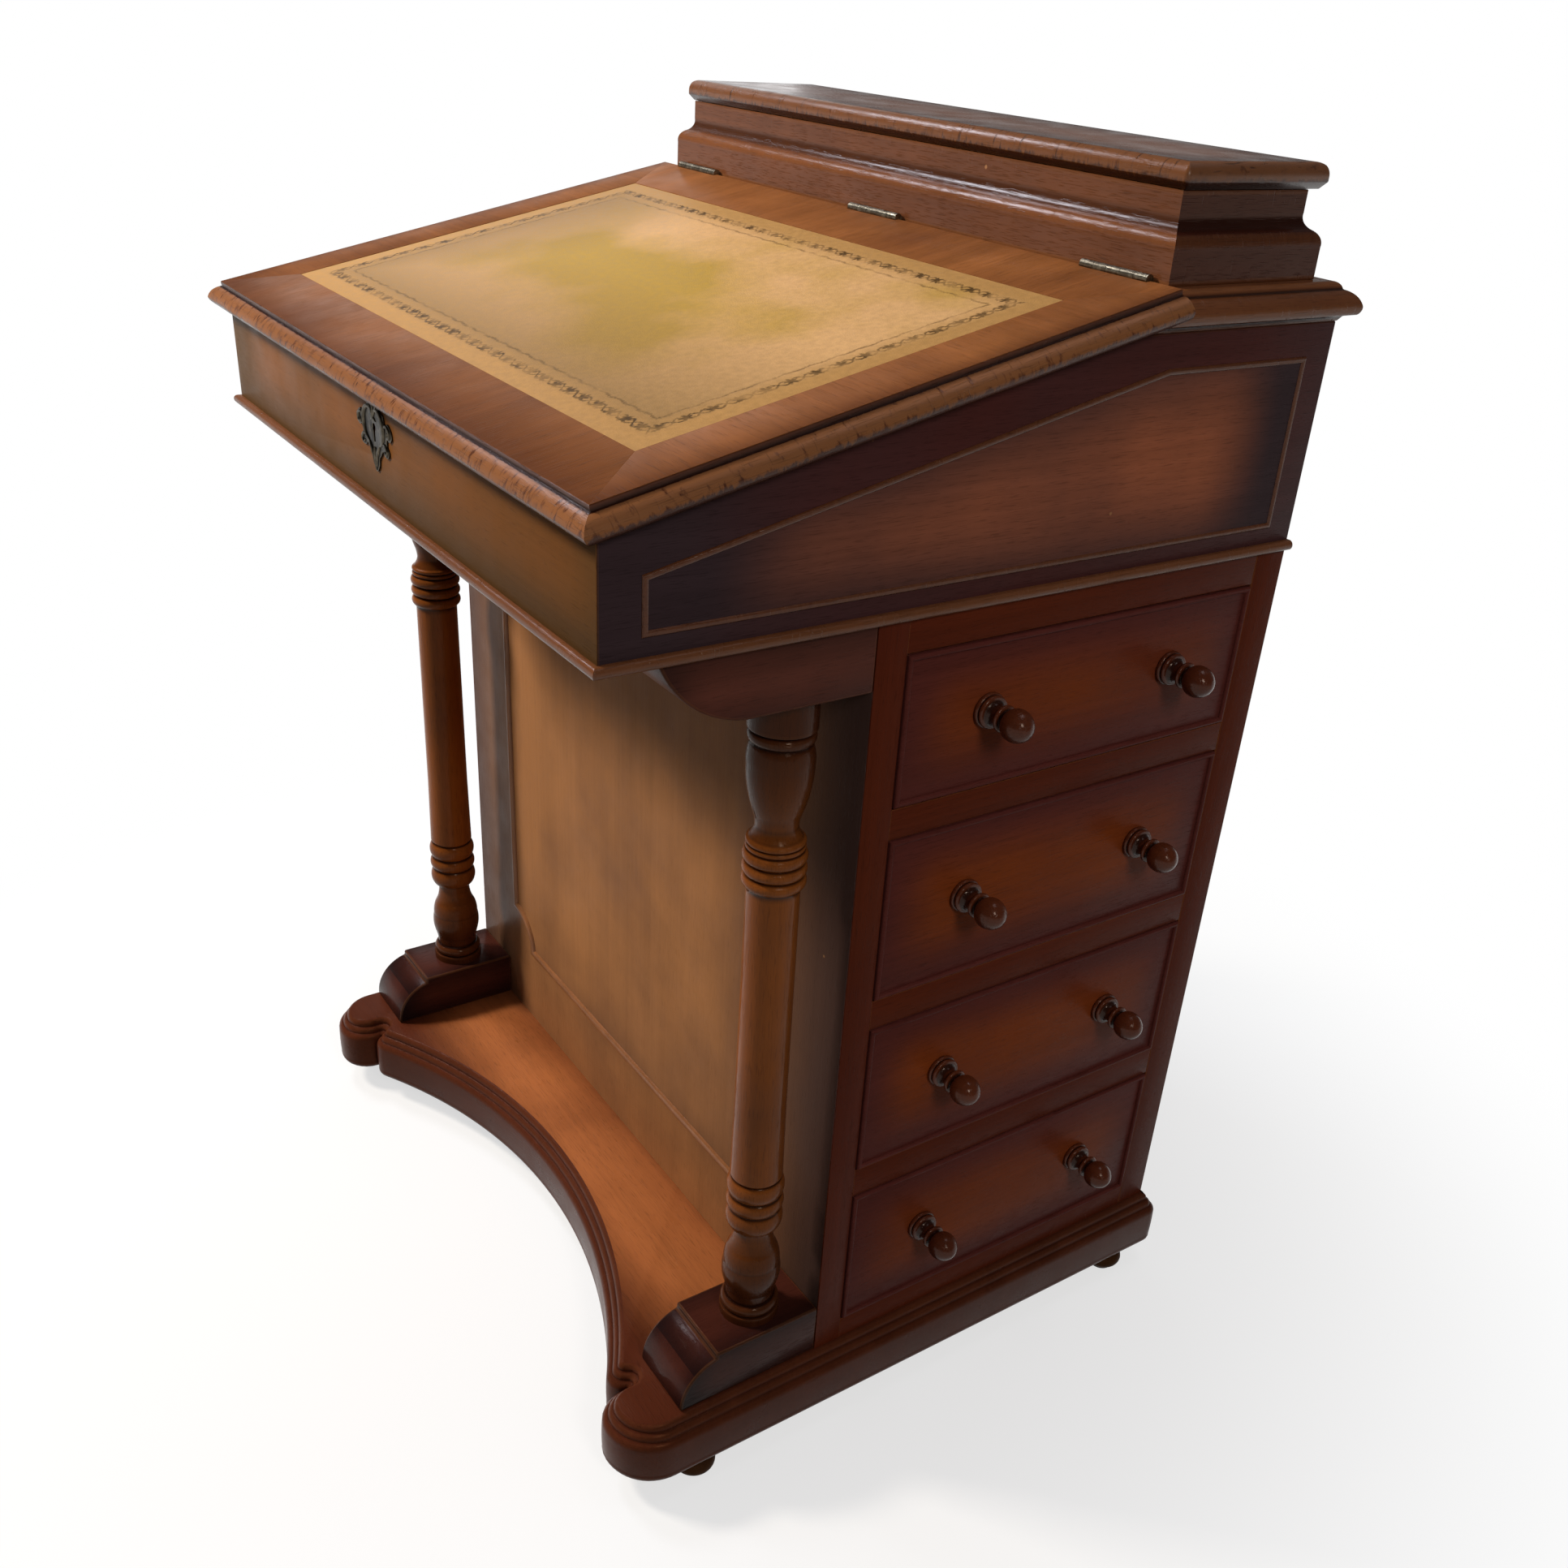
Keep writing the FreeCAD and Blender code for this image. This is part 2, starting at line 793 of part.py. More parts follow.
inside_x = (inner_left, frame_x[0])
keep(
    board("rear_board", inside_x, (pedestal_back_y, back), (floor, pedestal_top)),
    "pedestal_back",
)
keep(
    group("shelves", [
        board(
            "shelf_%d" % index,
            inside_x,
            (opening_y[0], pedestal_back_y),
            (top - S.dust_board, top),
        )
        for index, top in enumerate(shelf_tops, start=1)
    ]),
    "dust_boards",
)
keep(
    group("guide_strips", [
        board(
            "guide_%d" % index,
            inside_x,
            (opening_y[1], pedestal_back_y),
            (top, top + S.guide_height),
        )
        for index, top in enumerate(shelf_tops, start=1)
    ]),
    "drawer_guides",
)


# --- drawers and the dummy fronts ------------------------------------------------

KNOB_TURNING = [
    (16, 5, 0),         # spigot
    (0, 9.8, 0),
    (3.2, 9.8, 1),      # two rings of the rose
    (0, 9, 0),
    (3, 9, 1),
    (0, 7.8, 0),
    (4.8, 5.6, -0.8),   # neck
    (2.4, 5.6, 0),
    (0, 7.2, 0),
    (2.6, 7.2, 1),      # collar
    (0, 5.6, 0),
    (1.6, 5.6, 0),
    (6.9, 9.7, 1.1),    # ball
    (11.5, 0, 2.9),
]
spigot_length = KNOB_TURNING[0][0]
drawer_y = (opening_y[0] + S.drawer_gap, opening_y[1] - S.drawer_gap)
drawer_back_x = inner_left + S.drawer_tail_gap
drawer_front_x = half_width - S.drawer_front_thickness
inner_y = (drawer_y[0] + S.drawer_side_thickness, drawer_y[1] - S.drawer_side_thickness)


def drawer_face(drawer, inset=ZERO):
    """The rectangle of a drawer's face, drawn in by an inset."""
    return rectangle(
        drawer_y[0] + inset,
        drawer_y[1] - inset,
        drawer.low + S.drawer_gap + inset,
        drawer.high - S.drawer_gap - inset,
    )


knob_pairs = []
for drawer in drawers:
    label = drawer.name
    face = extruded(
        label + "_face",
        "YZ_Plane",
        [drawer_face(drawer)] + [(y, drawer.knob_z, spigot_hole) for y in knob_ys],
        drawer_front_x,
        half_width,
    )
    ring = [drawer_face(drawer), drawer_face(drawer, S.cock_bead)]
    pad(face, "YZ_Plane", ring, half_width, half_width + S.cock_bead_proud)
    keep(face, label + "_front")

    side_z = (drawer.low + S.running_gap, drawer.high - S.drawer_back_drop)
    box_x = (drawer_back_x, drawer_front_x)
    sides = [
        board(label + "_near", box_x, (drawer_y[0], inner_y[0]), side_z),
        board(label + "_far", box_x, (inner_y[1], drawer_y[1]), side_z),
    ]
    keep(group(label + "_pair", sides), label + "_sides")

    bottom_z = drawer.low + S.drawer_bottom_lift
    bottom_top = bottom_z + S.drawer_bottom_thickness
    keep(board(label + "_floor", box_x, inner_y, (bottom_z, bottom_top)), label + "_bottom")
    back_x = (drawer_back_x, drawer_back_x + S.drawer_side_thickness)
    keep(board(label + "_tail", back_x, inner_y, (bottom_top, side_z[1])), label + "_back")

    knobs = turned(label + "_knob", KNOB_TURNING, 5, along_x=True)
    repeated(knobs, "Y_Axis", S.knob_spacing)
    move(knobs, x=half_width - spigot_length, y=knob_ys[0], z=drawer.knob_z)
    knob_pairs.append(keep(knobs, label + "_knobs"))

keep(
    group("dummy_knob_pairs", [
        mirrored("dummy_pair_%d" % index, pair) for index, pair in enumerate(knob_pairs, start=1)
    ]),
    "dummy_knobs",
)
dummy_rings = []
for drawer in drawers:
    dummy_rings += [drawer_face(drawer), drawer_face(drawer, S.cock_bead)]
dummy_beads = extruded(
    "dummy_beads",
    "YZ_Plane",
    dummy_rings,
    -half_width - S.cock_bead_proud,
    -half_width,
)
keep(dummy_beads, "dummy_cock_beads")


# --- slope box -------------------------------------------------------------------

inner_half = half_width - S.box_side
ledge_top = kink_z - S.ledge_drop
ledge_bottom = ledge_top - S.ledge_height
hinge_y = kink_y - S.hinge_axis_forward
box_back_y = back - S.box_back
box_front_y = front + S.box_front
under_lid = S.lid_thickness / slope_cos + S.lid_rest_gap
seam_y = kink_y - (kink_z - under_lid - ledge_bottom) / slope_tan
front_edge_z = slope_z(front) - under_lid

box_side_outline = [
    (front, pedestal_top),
    (back, pedestal_top),
    (back, ledge_bottom),
    (seam_y, ledge_bottom),
    (front, front_edge_z),
]
box_side = extruded("box_side", "YZ_Plane", [box_side_outline], inner_half, half_width)
keep(box_side, "case_right_side")
keep(mirrored("box_side_mirror", box_side), "case_left_side")

KEYHOLE = [(-1.1, -7), (1.1, -7), (1.1, -1.9, 4.1), (-1.1, -1.9)]
key_z = front_edge_z - S.key_drop


def keyhole(scale=1):
    return [
        (as_size(point[0] * scale), key_z + point[1] * scale) + tuple(b * scale for b in point[2:])
        for point in KEYHOLE
    ]


lock_top = slope_z(box_front_y) - under_lid
box_front = extruded(
    "box_front_board",
    "YZ_Plane",
    [[
        (front, pedestal_top),
        (box_front_y, pedestal_top),
        (box_front_y, lock_top),
        (front, front_edge_z),
    ]],
    -inner_half,
    inner_half,
    [("XZ_Plane", [keyhole(1.2)])],
)
keep(box_front, "case_front")
keep(
    board(
        "box_back_board",
        (-inner_half, inner_half),
        (box_back_y, back),
        (pedestal_top, ledge_bottom),
    ),
    "case_back",
)
box_floor_z = pedestal_top + S.box_bottom
keep(
    board(
        "box_bottom_board",
        (-inner_half, inner_half),
        (box_front_y, box_back_y),
        (pedestal_top, box_floor_z),
    ),
    "case_bottom",
)
partition_y = (kink_y, kink_y + S.partition_thickness)
keep(
    board("partition", (-inner_half, inner_half), partition_y, (box_floor_z, ledge_top)),
    "well_partition",
)

FOOT_BEAD = [(0, 0), (2.5, 0, 2.5), (2.5, 6), (0, 6)]
foot_bead = max(point[0] for point in FOOT_BEAD) + FOOT_BEAD[1][2]
bead_end_x = half_width + foot_bead
bead_end_y = front - foot_bead
front_bead = extruded(
    "foot_bead_front",
    "YZ_Plane",
    [section(FOOT_BEAD, front, pedestal_top, -1)],
    -bead_end_x,
    bead_end_x,
    [("XY_Plane", [
        mitre(bead_end_x, 1, bead_end_y, -1, foot_bead, "x"),
        mitre(-bead_end_x, -1, bead_end_y, -1, foot_bead, "x"),
    ])],
)
side_foot_bead = extruded(
    "foot_bead_side",
    "XZ_Plane",
    [section(FOOT_BEAD, half_width, pedestal_top)],
    bead_end_y,
    back,
    [("XY_Plane", [mitre(bead_end_x, 1, bead_end_y, -1, foot_bead, "y")])],
)
foot_beads = [front_bead, side_foot_bead, mirrored("foot_bead_left", side_foot_bead)]
keep(group("foot_beads", foot_beads), "case_foot_bead")


def side_bead_ring(inset):
    """The outline that follows the case side, drawn in by an inset."""
    low = pedestal_top + S.side_bead_bottom + inset
    high = ledge_bottom - S.side_bead_drop - inset
    near = front + S.side_bead_front + inset
    far = back - S.side_bead_back - inset
    turn = kink_y + inset * trig("tan", S.slope_angle / 2)
    return [
        (near, low),
        (far, low),
        (far, high),
        (turn, high),
        (near, high - (turn - near) * slope_tan),
    ]


side_bead = extruded(
    "side_bead",
    "YZ_Plane",
    [side_bead_ring(ZERO), side_bead_ring(S.side_bead_width)],
    half_width,
    half_width + S.side_bead_proud,
)
eased(side_bead, "x", half_width + S.side_bead_proud, S.side_bead_proud * 0.7)
side_beads = [side_bead, mirrored("side_bead_left", side_bead)]
keep(group("side_bead_pair", side_beads), "case_side_beads")

# The ledge is a moulding on the sides and back; its front ends lean with the lid's seam.
LEDGE = [
    (-20, 0),
    (0, 0),
    (2, 3),
    (7.4, 4.3, 0.6),
    (9, 9, 1.6),
    (0.5, 17),
    (-0.2, 17.3, 1.2),
    (-5.5, 21),
    (-20, 21),
]
ledge_unit = S.ledge_height / LEDGE[-1][1]
ledge_width = max(point[0] for point in LEDGE) - LEDGE[0][0]
ledge_nose = max(point[0] for point in LEDGE)
ledge_x = half_width + ledge_nose
ledge_y = back + ledge_nose
seam_run = seam_y - hinge_y
seam_fall = ledge_bottom - kink_z
ledge_side = extruded(
    "ledge_side",
    "XZ_Plane",
    [section(LEDGE, half_width, ledge_bottom, 1, ledge_unit)],
    seam_y,
    ledge_y,
    [
        ("XY_Plane", [mitre(ledge_x, 1, ledge_y, 1, ledge_width, "y")]),
        ("YZ_Plane", [[
            (hinge_y - seam_run / 2, kink_z - seam_fall / 2),
            (seam_y - 5, kink_z - seam_fall / 2),
            (seam_y - 5, ledge_bottom + seam_fall / 2),
            (seam_y + seam_run / 2, ledge_bottom + seam_fall / 2),
        ]]),
    ],
)
ledge_back = extruded(
    "ledge_back",
    "YZ_Plane",
    [section(LEDGE, back, ledge_bottom, 1, ledge_unit)],
    -ledge_x,
    ledge_x,
    [("XY_Plane", [
        mitre(ledge_x, 1, ledge_y, 1, ledge_width, "x"),
        mitre(-ledge_x, -1, ledge_y, 1, ledge_width, "x"),
    ])],
)
ledges = [ledge_side, mirrored("ledge_left", ledge_side), ledge_back]
keep(group("ledges", ledges), "ledge_moulding")


# --- writing lid, drawn flat behind the kink line and laid down on the slope -----

LID_EDGE = [
    (-22.5, -18),
    (-1.5, -18),
    (5.5, -15, 0.8),
    (9.5, -9.5, 1.4),
    (1, -3),
    (0, -3),
    (0, 0),
    (-22.5, 0),
]
lid_unit = S.lid_thickness / -LID_EDGE[0][1]
lid_nose_out = max(point[0] for point in LID_EDGE)
lid_nose_drop = -LID_EDGE[3][1] * lid_unit
strip_width = lid_nose_out - LID_EDGE[0][0]
lid_side_field = half_width + S.lid_field_side
lid_nose_x = lid_side_field + lid_nose_out
lid_nose_y = (base_front - kink_y - lid_nose_drop * slope_sin) / slope_cos
lid_front_field = lid_nose_y + lid_nose_out
panel_half = lid_nose_x - strip_width
panel_front = lid_nose_y + strip_width
lid_bottom = -S.lid_thickness


def to_slope(y, z):
    """Turn a point of the case into the lid's own flat frame."""
    run = y - kink_y
    rise = z - kink_z
    return run * slope_cos + rise * slope_sin, rise * slope_cos - run * slope_sin


hinge_flat = to_slope(hinge_y, kink_z)
leaf_face = hinge_flat[0] - S.hinge_knuckle - S.hinge_knuckle_gap / 2
rear_run = -(S.hinge_axis_forward + S.hinge_knuckle_gap) / slope_cos
outer_hinge_x = panel_half - S.hinge_end_margin - S.hinge_length / 2
hinge_centres = (-outer_hinge_x, ZERO, outer_hinge_x)
notch_half = S.hinge_length / 2 + S.hinge_knuckle_gap

lid_panel = extruded(
    "lid_board",
    "YZ_Plane",
    [[
        (panel_front, lid_bottom),
        (rear_run - S.lid_thickness * slope_tan, lid_bottom),
        (rear_run, ZERO),
        (panel_front, ZERO),
    ]],
    -panel_half,
    panel_half,
    [("XY_Plane", [
        rectangle(centre - notch_half, centre + notch_half, leaf_face, as_size(5))
        for centre in hinge_centres
    ])],
)
leather_half = panel_half - S.leather_side_margin
leather_outline = rectangle(
    -leather_half,
    leather_half,
    panel_front + S.leather_front_margin,
    -S.leather_back,
)
sunk(lid_panel, [leather_outline], ZERO, S.leather_thickness)
bolt_y = (box_front_y + S.lock_depth / 2, box_front_y + S.lock_depth / 2 + S.bolt_thickness)
bolt_half = S.bolt_width / 2
mortise_y = [to_slope(y, lock_top)[0] for y in bolt_y]
mortise = rectangle(
    -bolt_half - 1,
    bolt_half + 1,
    mortise_y[0] - 1,
    mortise_y[1] + 3,
)
sunk(lid_panel, [mortise], lid_bottom + S.bolt_travel, S.bolt_travel + 1)
keep(tilt(lid_panel), "lid_panel")

seam_gap = S.lid_rest_gap * 1.5
past_seam = seam_gap + S.kink_inset / 4
seam_flat = to_slope(seam_y, ledge_bottom)
seam_y_step = seam_flat[0] - hinge_flat[0]
seam_z_step = seam_flat[1] - hinge_flat[1]
lid_side = extruded(
    "lid_side",
    "XZ_Plane",
    [section(LID_EDGE, lid_side_field, ZERO, 1, lid_unit)],
    lid_nose_y,
    as_size(10),
    [
        ("XY_Plane", [mitre(lid_nose_x, 1, lid_nose_y, -1, strip_width, "y")]),
        ("YZ_Plane", [[
            (hinge_flat[0] - seam_y_step / 2 - seam_gap, hinge_flat[1] - seam_z_step / 2),
            (seam_flat[0] + seam_y_step / 2 - seam_gap, seam_flat[1] + seam_z_step / 2),
            (past_seam, seam_flat[1] + seam_z_step / 2),
            (past_seam, hinge_flat[1] - seam_z_step / 2),
        ]]),
    ],
)
lid_front = extruded(
    "lid_front",
    "YZ_Plane",
    [section(LID_EDGE, lid_front_field, ZERO, -1, lid_unit)],
    -lid_nose_x,
    lid_nose_x,
    [("XY_Plane", [
        mitre(lid_nose_x, 1, lid_nose_y, -1, strip_width, "x"),
        mitre(-lid_nose_x, -1, lid_nose_y, -1, strip_width, "x"),
    ])],
)
lid_edges = [lid_side, mirrored("lid_side_mirror", lid_side), lid_front]
keep(tilt(group("lid_edges", lid_edges)), "lid_moulding")

leather = extruded("leather", "XY_Plane", [leather_outline], -S.leather_thickness, ZERO)
keep(tilt(leather), "leather_inlay")


# --- butt hinges -----------------------------------------------------------------

knuckle_length = (S.hinge_length - 4 * S.hinge_knuckle_gap) / 5


def hinge_leaf(label, centres, axis, plate, stub, knuckles, with_pin):
    """Leaves with their knuckles along X; the moving ones carry the pins."""
    leaves = []
    for number, centre in enumerate(centres, start=1):
        name = "%s_%d" % (label, number)
        start = centre - S.hinge_length / 2
        members = [board(name + "_plate", (start, start + S.hinge_length), *plate)]
        for index in knuckles:
            low = start + (knuckle_length + S.hinge_knuckle_gap) * index
            high = low + knuckle_length
            knuckle = rod("%s_knuckle_%d" % (name, index), S.hinge_knuckle, high - low, low, *axis)
            members += [board("%s_stub_%d" % (name, index), (low, high), *stub), knuckle]
        if with_pin:
            members.append(rod(name + "_pin", S.hinge_pin, S.hinge_length, start, *axis))
            leaves.append(fuse(name, members))
            continue
        bore_radius = S.hinge_pin + S.hinge_pin_play
        bore = rod(name + "_bore", bore_radius, S.hinge_length + 2, start - 1, *axis)
        leaves.append(cut(name, fuse(name + "_solid", members), bore))
    return group(label + "_leaves", leaves)


clear_of_knuckle = S.hinge_knuckle + S.hinge_knuckle_gap
lid_axis = (hinge_y, kink_z)
fixed_plate_y = (kink_y - S.hinge_leaf, kink_y)
keep(
    hinge_leaf(
        "lid_hinge_fixed",
        hinge_centres,
        lid_axis,
        (fixed_plate_y, (kink_z - clear_of_knuckle - S.hinge_leaf_depth, kink_z - clear_of_knuckle)),
        (fixed_plate_y, (kink_z - clear_of_knuckle, kink_z)),
        (0, 2, 4),
        False,
    ),
    "lid_hinges_fixed",
)
moving_plate_y = (leaf_face, leaf_face + S.hinge_leaf)
moving_plate_top = hinge_flat[1] - clear_of_knuckle
keep(
    tilt(hinge_leaf(
        "lid_hinge_moving",
        hinge_centres,
        hinge_flat,
        (moving_plate_y, (moving_plate_top - S.hinge_moving_depth, moving_plate_top)),
        (moving_plate_y, (moving_plate_top, hinge_flat[1])),
        (1, 3),
        True,
    )),
    "lid_hinges_moving",
)


# --- lock and escutcheon ---------------------------------------------------------

lock_y = (box_front_y, box_front_y + S.lock_depth)
lock_half = S.lock_width / 2
lock_case = extruded(
    "lock_case",
    "XY_Plane",
    [rectangle(-lock_half, lock_half, *lock_y)],
    lock_top - S.lock_height,
    lock_top,
)
channel = rectangle(
    -bolt_half - S.bolt_play,
    bolt_half + S.bolt_play,
    bolt_y[0] - S.bolt_play,
    bolt_y[1] + S.bolt_play,
)
sunk(lock_case, [channel], lock_top, S.bolt_length + S.bolt_play)
keep(lock_case, "lock_case")
bolt_z = (lock_top - S.bolt_length, lock_top)
keep(board("bolt", (-bolt_half, bolt_half), bolt_y, bolt_z), "lock_bolt")

ESCUTCHEON = [
    (1, 0, 2),
    (0.72, 0.5, 2),
    (0.36, 0.6, 2),
    (0, 1, 2),
    (-0.36, 0.6, 2),
    (-0.72, 0.5, 2),
    (-1, 0, 2),
    (-0.72, -0.5, 2),
    (-0.36, -0.6, 2),
    (0, -1, 2),
    (0.36, -0.6, 2),
    (0.72, -0.5, 2),
]
escutcheon_outline = [
    (S.escutcheon_half_width * h, key_z + S.escutcheon_half_height * v, as_size(bulge))
    for h, v, bulge in ESCUTCHEON
]
escutcheon = extruded(
    "key_plate",
    "XZ_Plane",
    [escutcheon_outline, keyhole()],
    front - S.escutcheon_thickness,
    front,
)
keep(escutcheon, "escutcheon")


# --- stationery gallery and its lid ----------------------------------------------

GALLERY_WALL = [
    (-16, 0),
    (0, 0),
    (0, 17, 1.6),
    (-4.5, 25.4, -1.6),
    (-9, 33.8),
    (-9, 45.7),
    (-16, 45.7),
]
wall_width = -GALLERY_WALL[0][0]
neck = -GALLERY_WALL[4][0]
wall_top = ledge_top + GALLERY_WALL[-1][1]
gallery_x = half_width - S.gallery_side_margin
gallery_y = (kink_y, back - S.gallery_back_margin)


def gallery_rail(label, edge, outward):
    corners = [
        mitre(gallery_x * sign, sign, edge, outward, wall_width, "x")
        for sign in (-1, 1)
    ]
    return extruded(
        label,
        "YZ_Plane",
        [section(GALLERY_WALL, edge, ledge_top, outward)],
        -gallery_x,
        gallery_x,
        [("XY_Plane", corners)],
    )


keep(gallery_rail("gallery_front_wall", gallery_y[0], -1), "gallery_front")
keep(gallery_rail("gallery_back_wall", gallery_y[1], 1), "gallery_back")
gallery_side = extruded(
    "gallery_side_wall",
    "XZ_Plane",
    [section(GALLERY_WALL, gallery_x, ledge_top)],
    *gallery_y,
    [("XY_Plane", [
        mitre(gallery_x, 1, gallery_y[0], -1, wall_width, "y"),
        mitre(gallery_x, 1, gallery_y[1], 1, wall_width, "y"),
    ])],
)
gallery_walls = [gallery_side, mirrored("gallery_side_left", gallery_side)]
keep(group("gallery_side_walls", gallery_walls), "gallery_sides")

lid_z = (wall_top + S.lid_rest_gap, wall_top + S.lid_rest_gap + S.gallery_lid_thickness)
lid_half = gallery_x - neck + S.gallery_lid_side_lap
top_lid = extruded(
    "top_lid",
    "XY_Plane",
    [rectangle(
        -lid_half,
        lid_half,
        gallery_y[0] + neck - S.gallery_lid_front_lap,
        gallery_y[1] + S.gallery_lid_back_lap,
    )],
    *lid_z,
)
eased(top_lid, "z", lid_z[1], S.gallery_lid_round)
eased(top_lid, "z", lid_z[0], S.gallery_lid_chamfer, "Chamfer")
keep(top_lid, "gallery_lid")

neck_y = gallery_y[1] - neck
top_axis = (neck_y + clear_of_knuckle, lid_z[0] - clear_of_knuckle)
top_hinge_x = gallery_x - S.gallery_hinge_end_margin - S.hinge_length / 2
top_centres = (-top_hinge_x, top_hinge_x)
fixed_leaf_y = (neck_y, neck_y + S.hinge_leaf)
fixed_leaf_top = top_axis[1] - clear_of_knuckle
keep(
    hinge_leaf(
        "top_hinge_fixed",
        top_centres,
        top_axis,
        (fixed_leaf_y, (ledge_top + GALLERY_WALL[4][1], fixed_leaf_top)),
        (fixed_leaf_y, (fixed_leaf_top, top_axis[1])),
        (0, 2, 4),
        False,
    ),
    "gallery_hinges_fixed",
)
moving_leaf_z = (lid_z[0] - S.hinge_leaf, lid_z[0])
moving_leaf_y = top_axis[0] + clear_of_knuckle
keep(
    hinge_leaf(
        "top_hinge_moving",
        top_centres,
        top_axis,
        ((moving_leaf_y, gallery_y[1] + S.gallery_lid_back_lap - 1), moving_leaf_z),
        ((top_axis[0], moving_leaf_y), moving_leaf_z),
        (1, 3),
        True,
    ),
    "gallery_hinges_moving",
)


# --- check and write -------------------------------------------------------------

doc.recompute()
for item in doc.Objects:
    if "Invalid" in item.State or "Error" in item.State:
        raise RuntimeError("%s did not recompute: %s" % (item.Label, item.State))
for item in sub_parts:
    if item.Shape.isNull() or not item.Shape.isValid():
        raise RuntimeError("%s has no valid shape" % item.Label)

os.makedirs("parts", exist_ok=True)
for item in sub_parts:
    item.Shape.exportStep("parts/%s.step" % item.Label)
    print("%-24s %2d solid(s)" % (item.Label, len(item.Shape.Solids)))
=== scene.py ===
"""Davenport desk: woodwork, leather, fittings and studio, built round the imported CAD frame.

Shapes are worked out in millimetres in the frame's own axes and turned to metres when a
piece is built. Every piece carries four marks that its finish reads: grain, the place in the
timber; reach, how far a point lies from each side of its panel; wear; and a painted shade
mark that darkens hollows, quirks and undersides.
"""
import math
import random

import bmesh
import bpy
from bpy.props import FloatProperty, FloatVectorProperty, IntProperty, PointerProperty
from mathutils import Matrix, Vector


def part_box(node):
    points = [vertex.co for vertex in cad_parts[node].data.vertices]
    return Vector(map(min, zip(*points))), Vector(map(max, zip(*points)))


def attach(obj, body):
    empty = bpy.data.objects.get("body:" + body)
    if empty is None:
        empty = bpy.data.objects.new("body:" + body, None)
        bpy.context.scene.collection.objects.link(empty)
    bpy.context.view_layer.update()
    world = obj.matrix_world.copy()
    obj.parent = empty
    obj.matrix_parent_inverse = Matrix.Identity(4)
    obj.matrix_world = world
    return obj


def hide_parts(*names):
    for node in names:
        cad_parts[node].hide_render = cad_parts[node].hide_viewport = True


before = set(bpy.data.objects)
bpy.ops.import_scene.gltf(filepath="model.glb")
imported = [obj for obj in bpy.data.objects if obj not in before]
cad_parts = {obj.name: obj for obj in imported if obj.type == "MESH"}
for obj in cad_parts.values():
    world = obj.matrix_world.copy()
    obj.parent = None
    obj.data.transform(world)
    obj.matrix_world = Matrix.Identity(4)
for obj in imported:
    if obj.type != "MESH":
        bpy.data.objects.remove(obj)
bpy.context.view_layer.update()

bl_info = {
    "name": "Davenport Desk Workshop",
    "version": (1, 0, 0),
    "blender": (4, 5, 0),
    "location": "3D View > Sidebar > Davenport",
    "description": "Builds and finishes a davenport writing desk round its CAD frame",
    "category": "Object",
}

MM = 0.001
UP = Vector((0, 0, 1))
ALONG_X = Vector((1, 0, 0))
ALONG_Y = Vector((0, 1, 0))
OPEN = 5000.0

SLOPE = math.radians(12.4)
KINK = Vector((0, 105, 742))
LAID_DOWN = Matrix.Translation(KINK) @ Matrix.Rotation(SLOPE, 4, "X")


def linear(code):
    """An sRGB hex colour as linear red, green, blue and alpha."""
    channels = [int(code[i:i + 2], 16) / 255 for i in (1, 3, 5)]
    return [c / 12.92 if c <= 0.04045 else ((c + 0.055) / 1.055) ** 2.4 for c in channels] + [1]


def add(tree, kind, inputs=None, **settings):
    """Add a node, set it up, and feed its inputs with values, nodes or their outputs."""
    node = tree.nodes.new(kind)
    for name, value in settings.items():
        setattr(node, name, value)
    for key, value in (inputs or {}).items():
        if isinstance(value, bpy.types.Node):
            value = next(socket for socket in value.outputs if socket.enabled)
        if isinstance(value, bpy.types.NodeSocket):
            tree.links.new(value, node.inputs[key])
        else:
            node.inputs[key].default_value = value
    return node


# --- settings that a user may change ------------------------------------------------


def colour(name, code, description):
    return FloatVectorProperty(
        name=name, description=description, size=3, min=0, max=1,
        subtype="COLOR", default=linear(code)[:3],
    )


def length(name, millimetres, description):
    return FloatProperty(
        name=name, description=description, default=millimetres * MM, min=0,
        unit="LENGTH", subtype="DISTANCE",
    )


class DAVENPORT_PG_sizes(bpy.types.PropertyGroup):
    """Sizes of the small detail that the frame leaves to the finisher."""

    eased_edge: length("Eased edge", 0.9, "Radius rubbed onto the edges of boards")
    sharp_edge: length("Crisp edge", 0.35, "Radius left on drawer edges and small mouldings")
    panel_shade: length("Panel shade", 62, "Width of the dark shading round case panels")
    drawer_shade: length("Drawer shade", 44, "Width of the dark shading round drawer fronts")
    veneer: length("Veneer", 0.25, "How far a veneered panel stands proud of its board")
    lathe_steps: IntProperty(
        name="Lathe steps", description="Sides in each turning", default=72, min=24, max=160,
    )


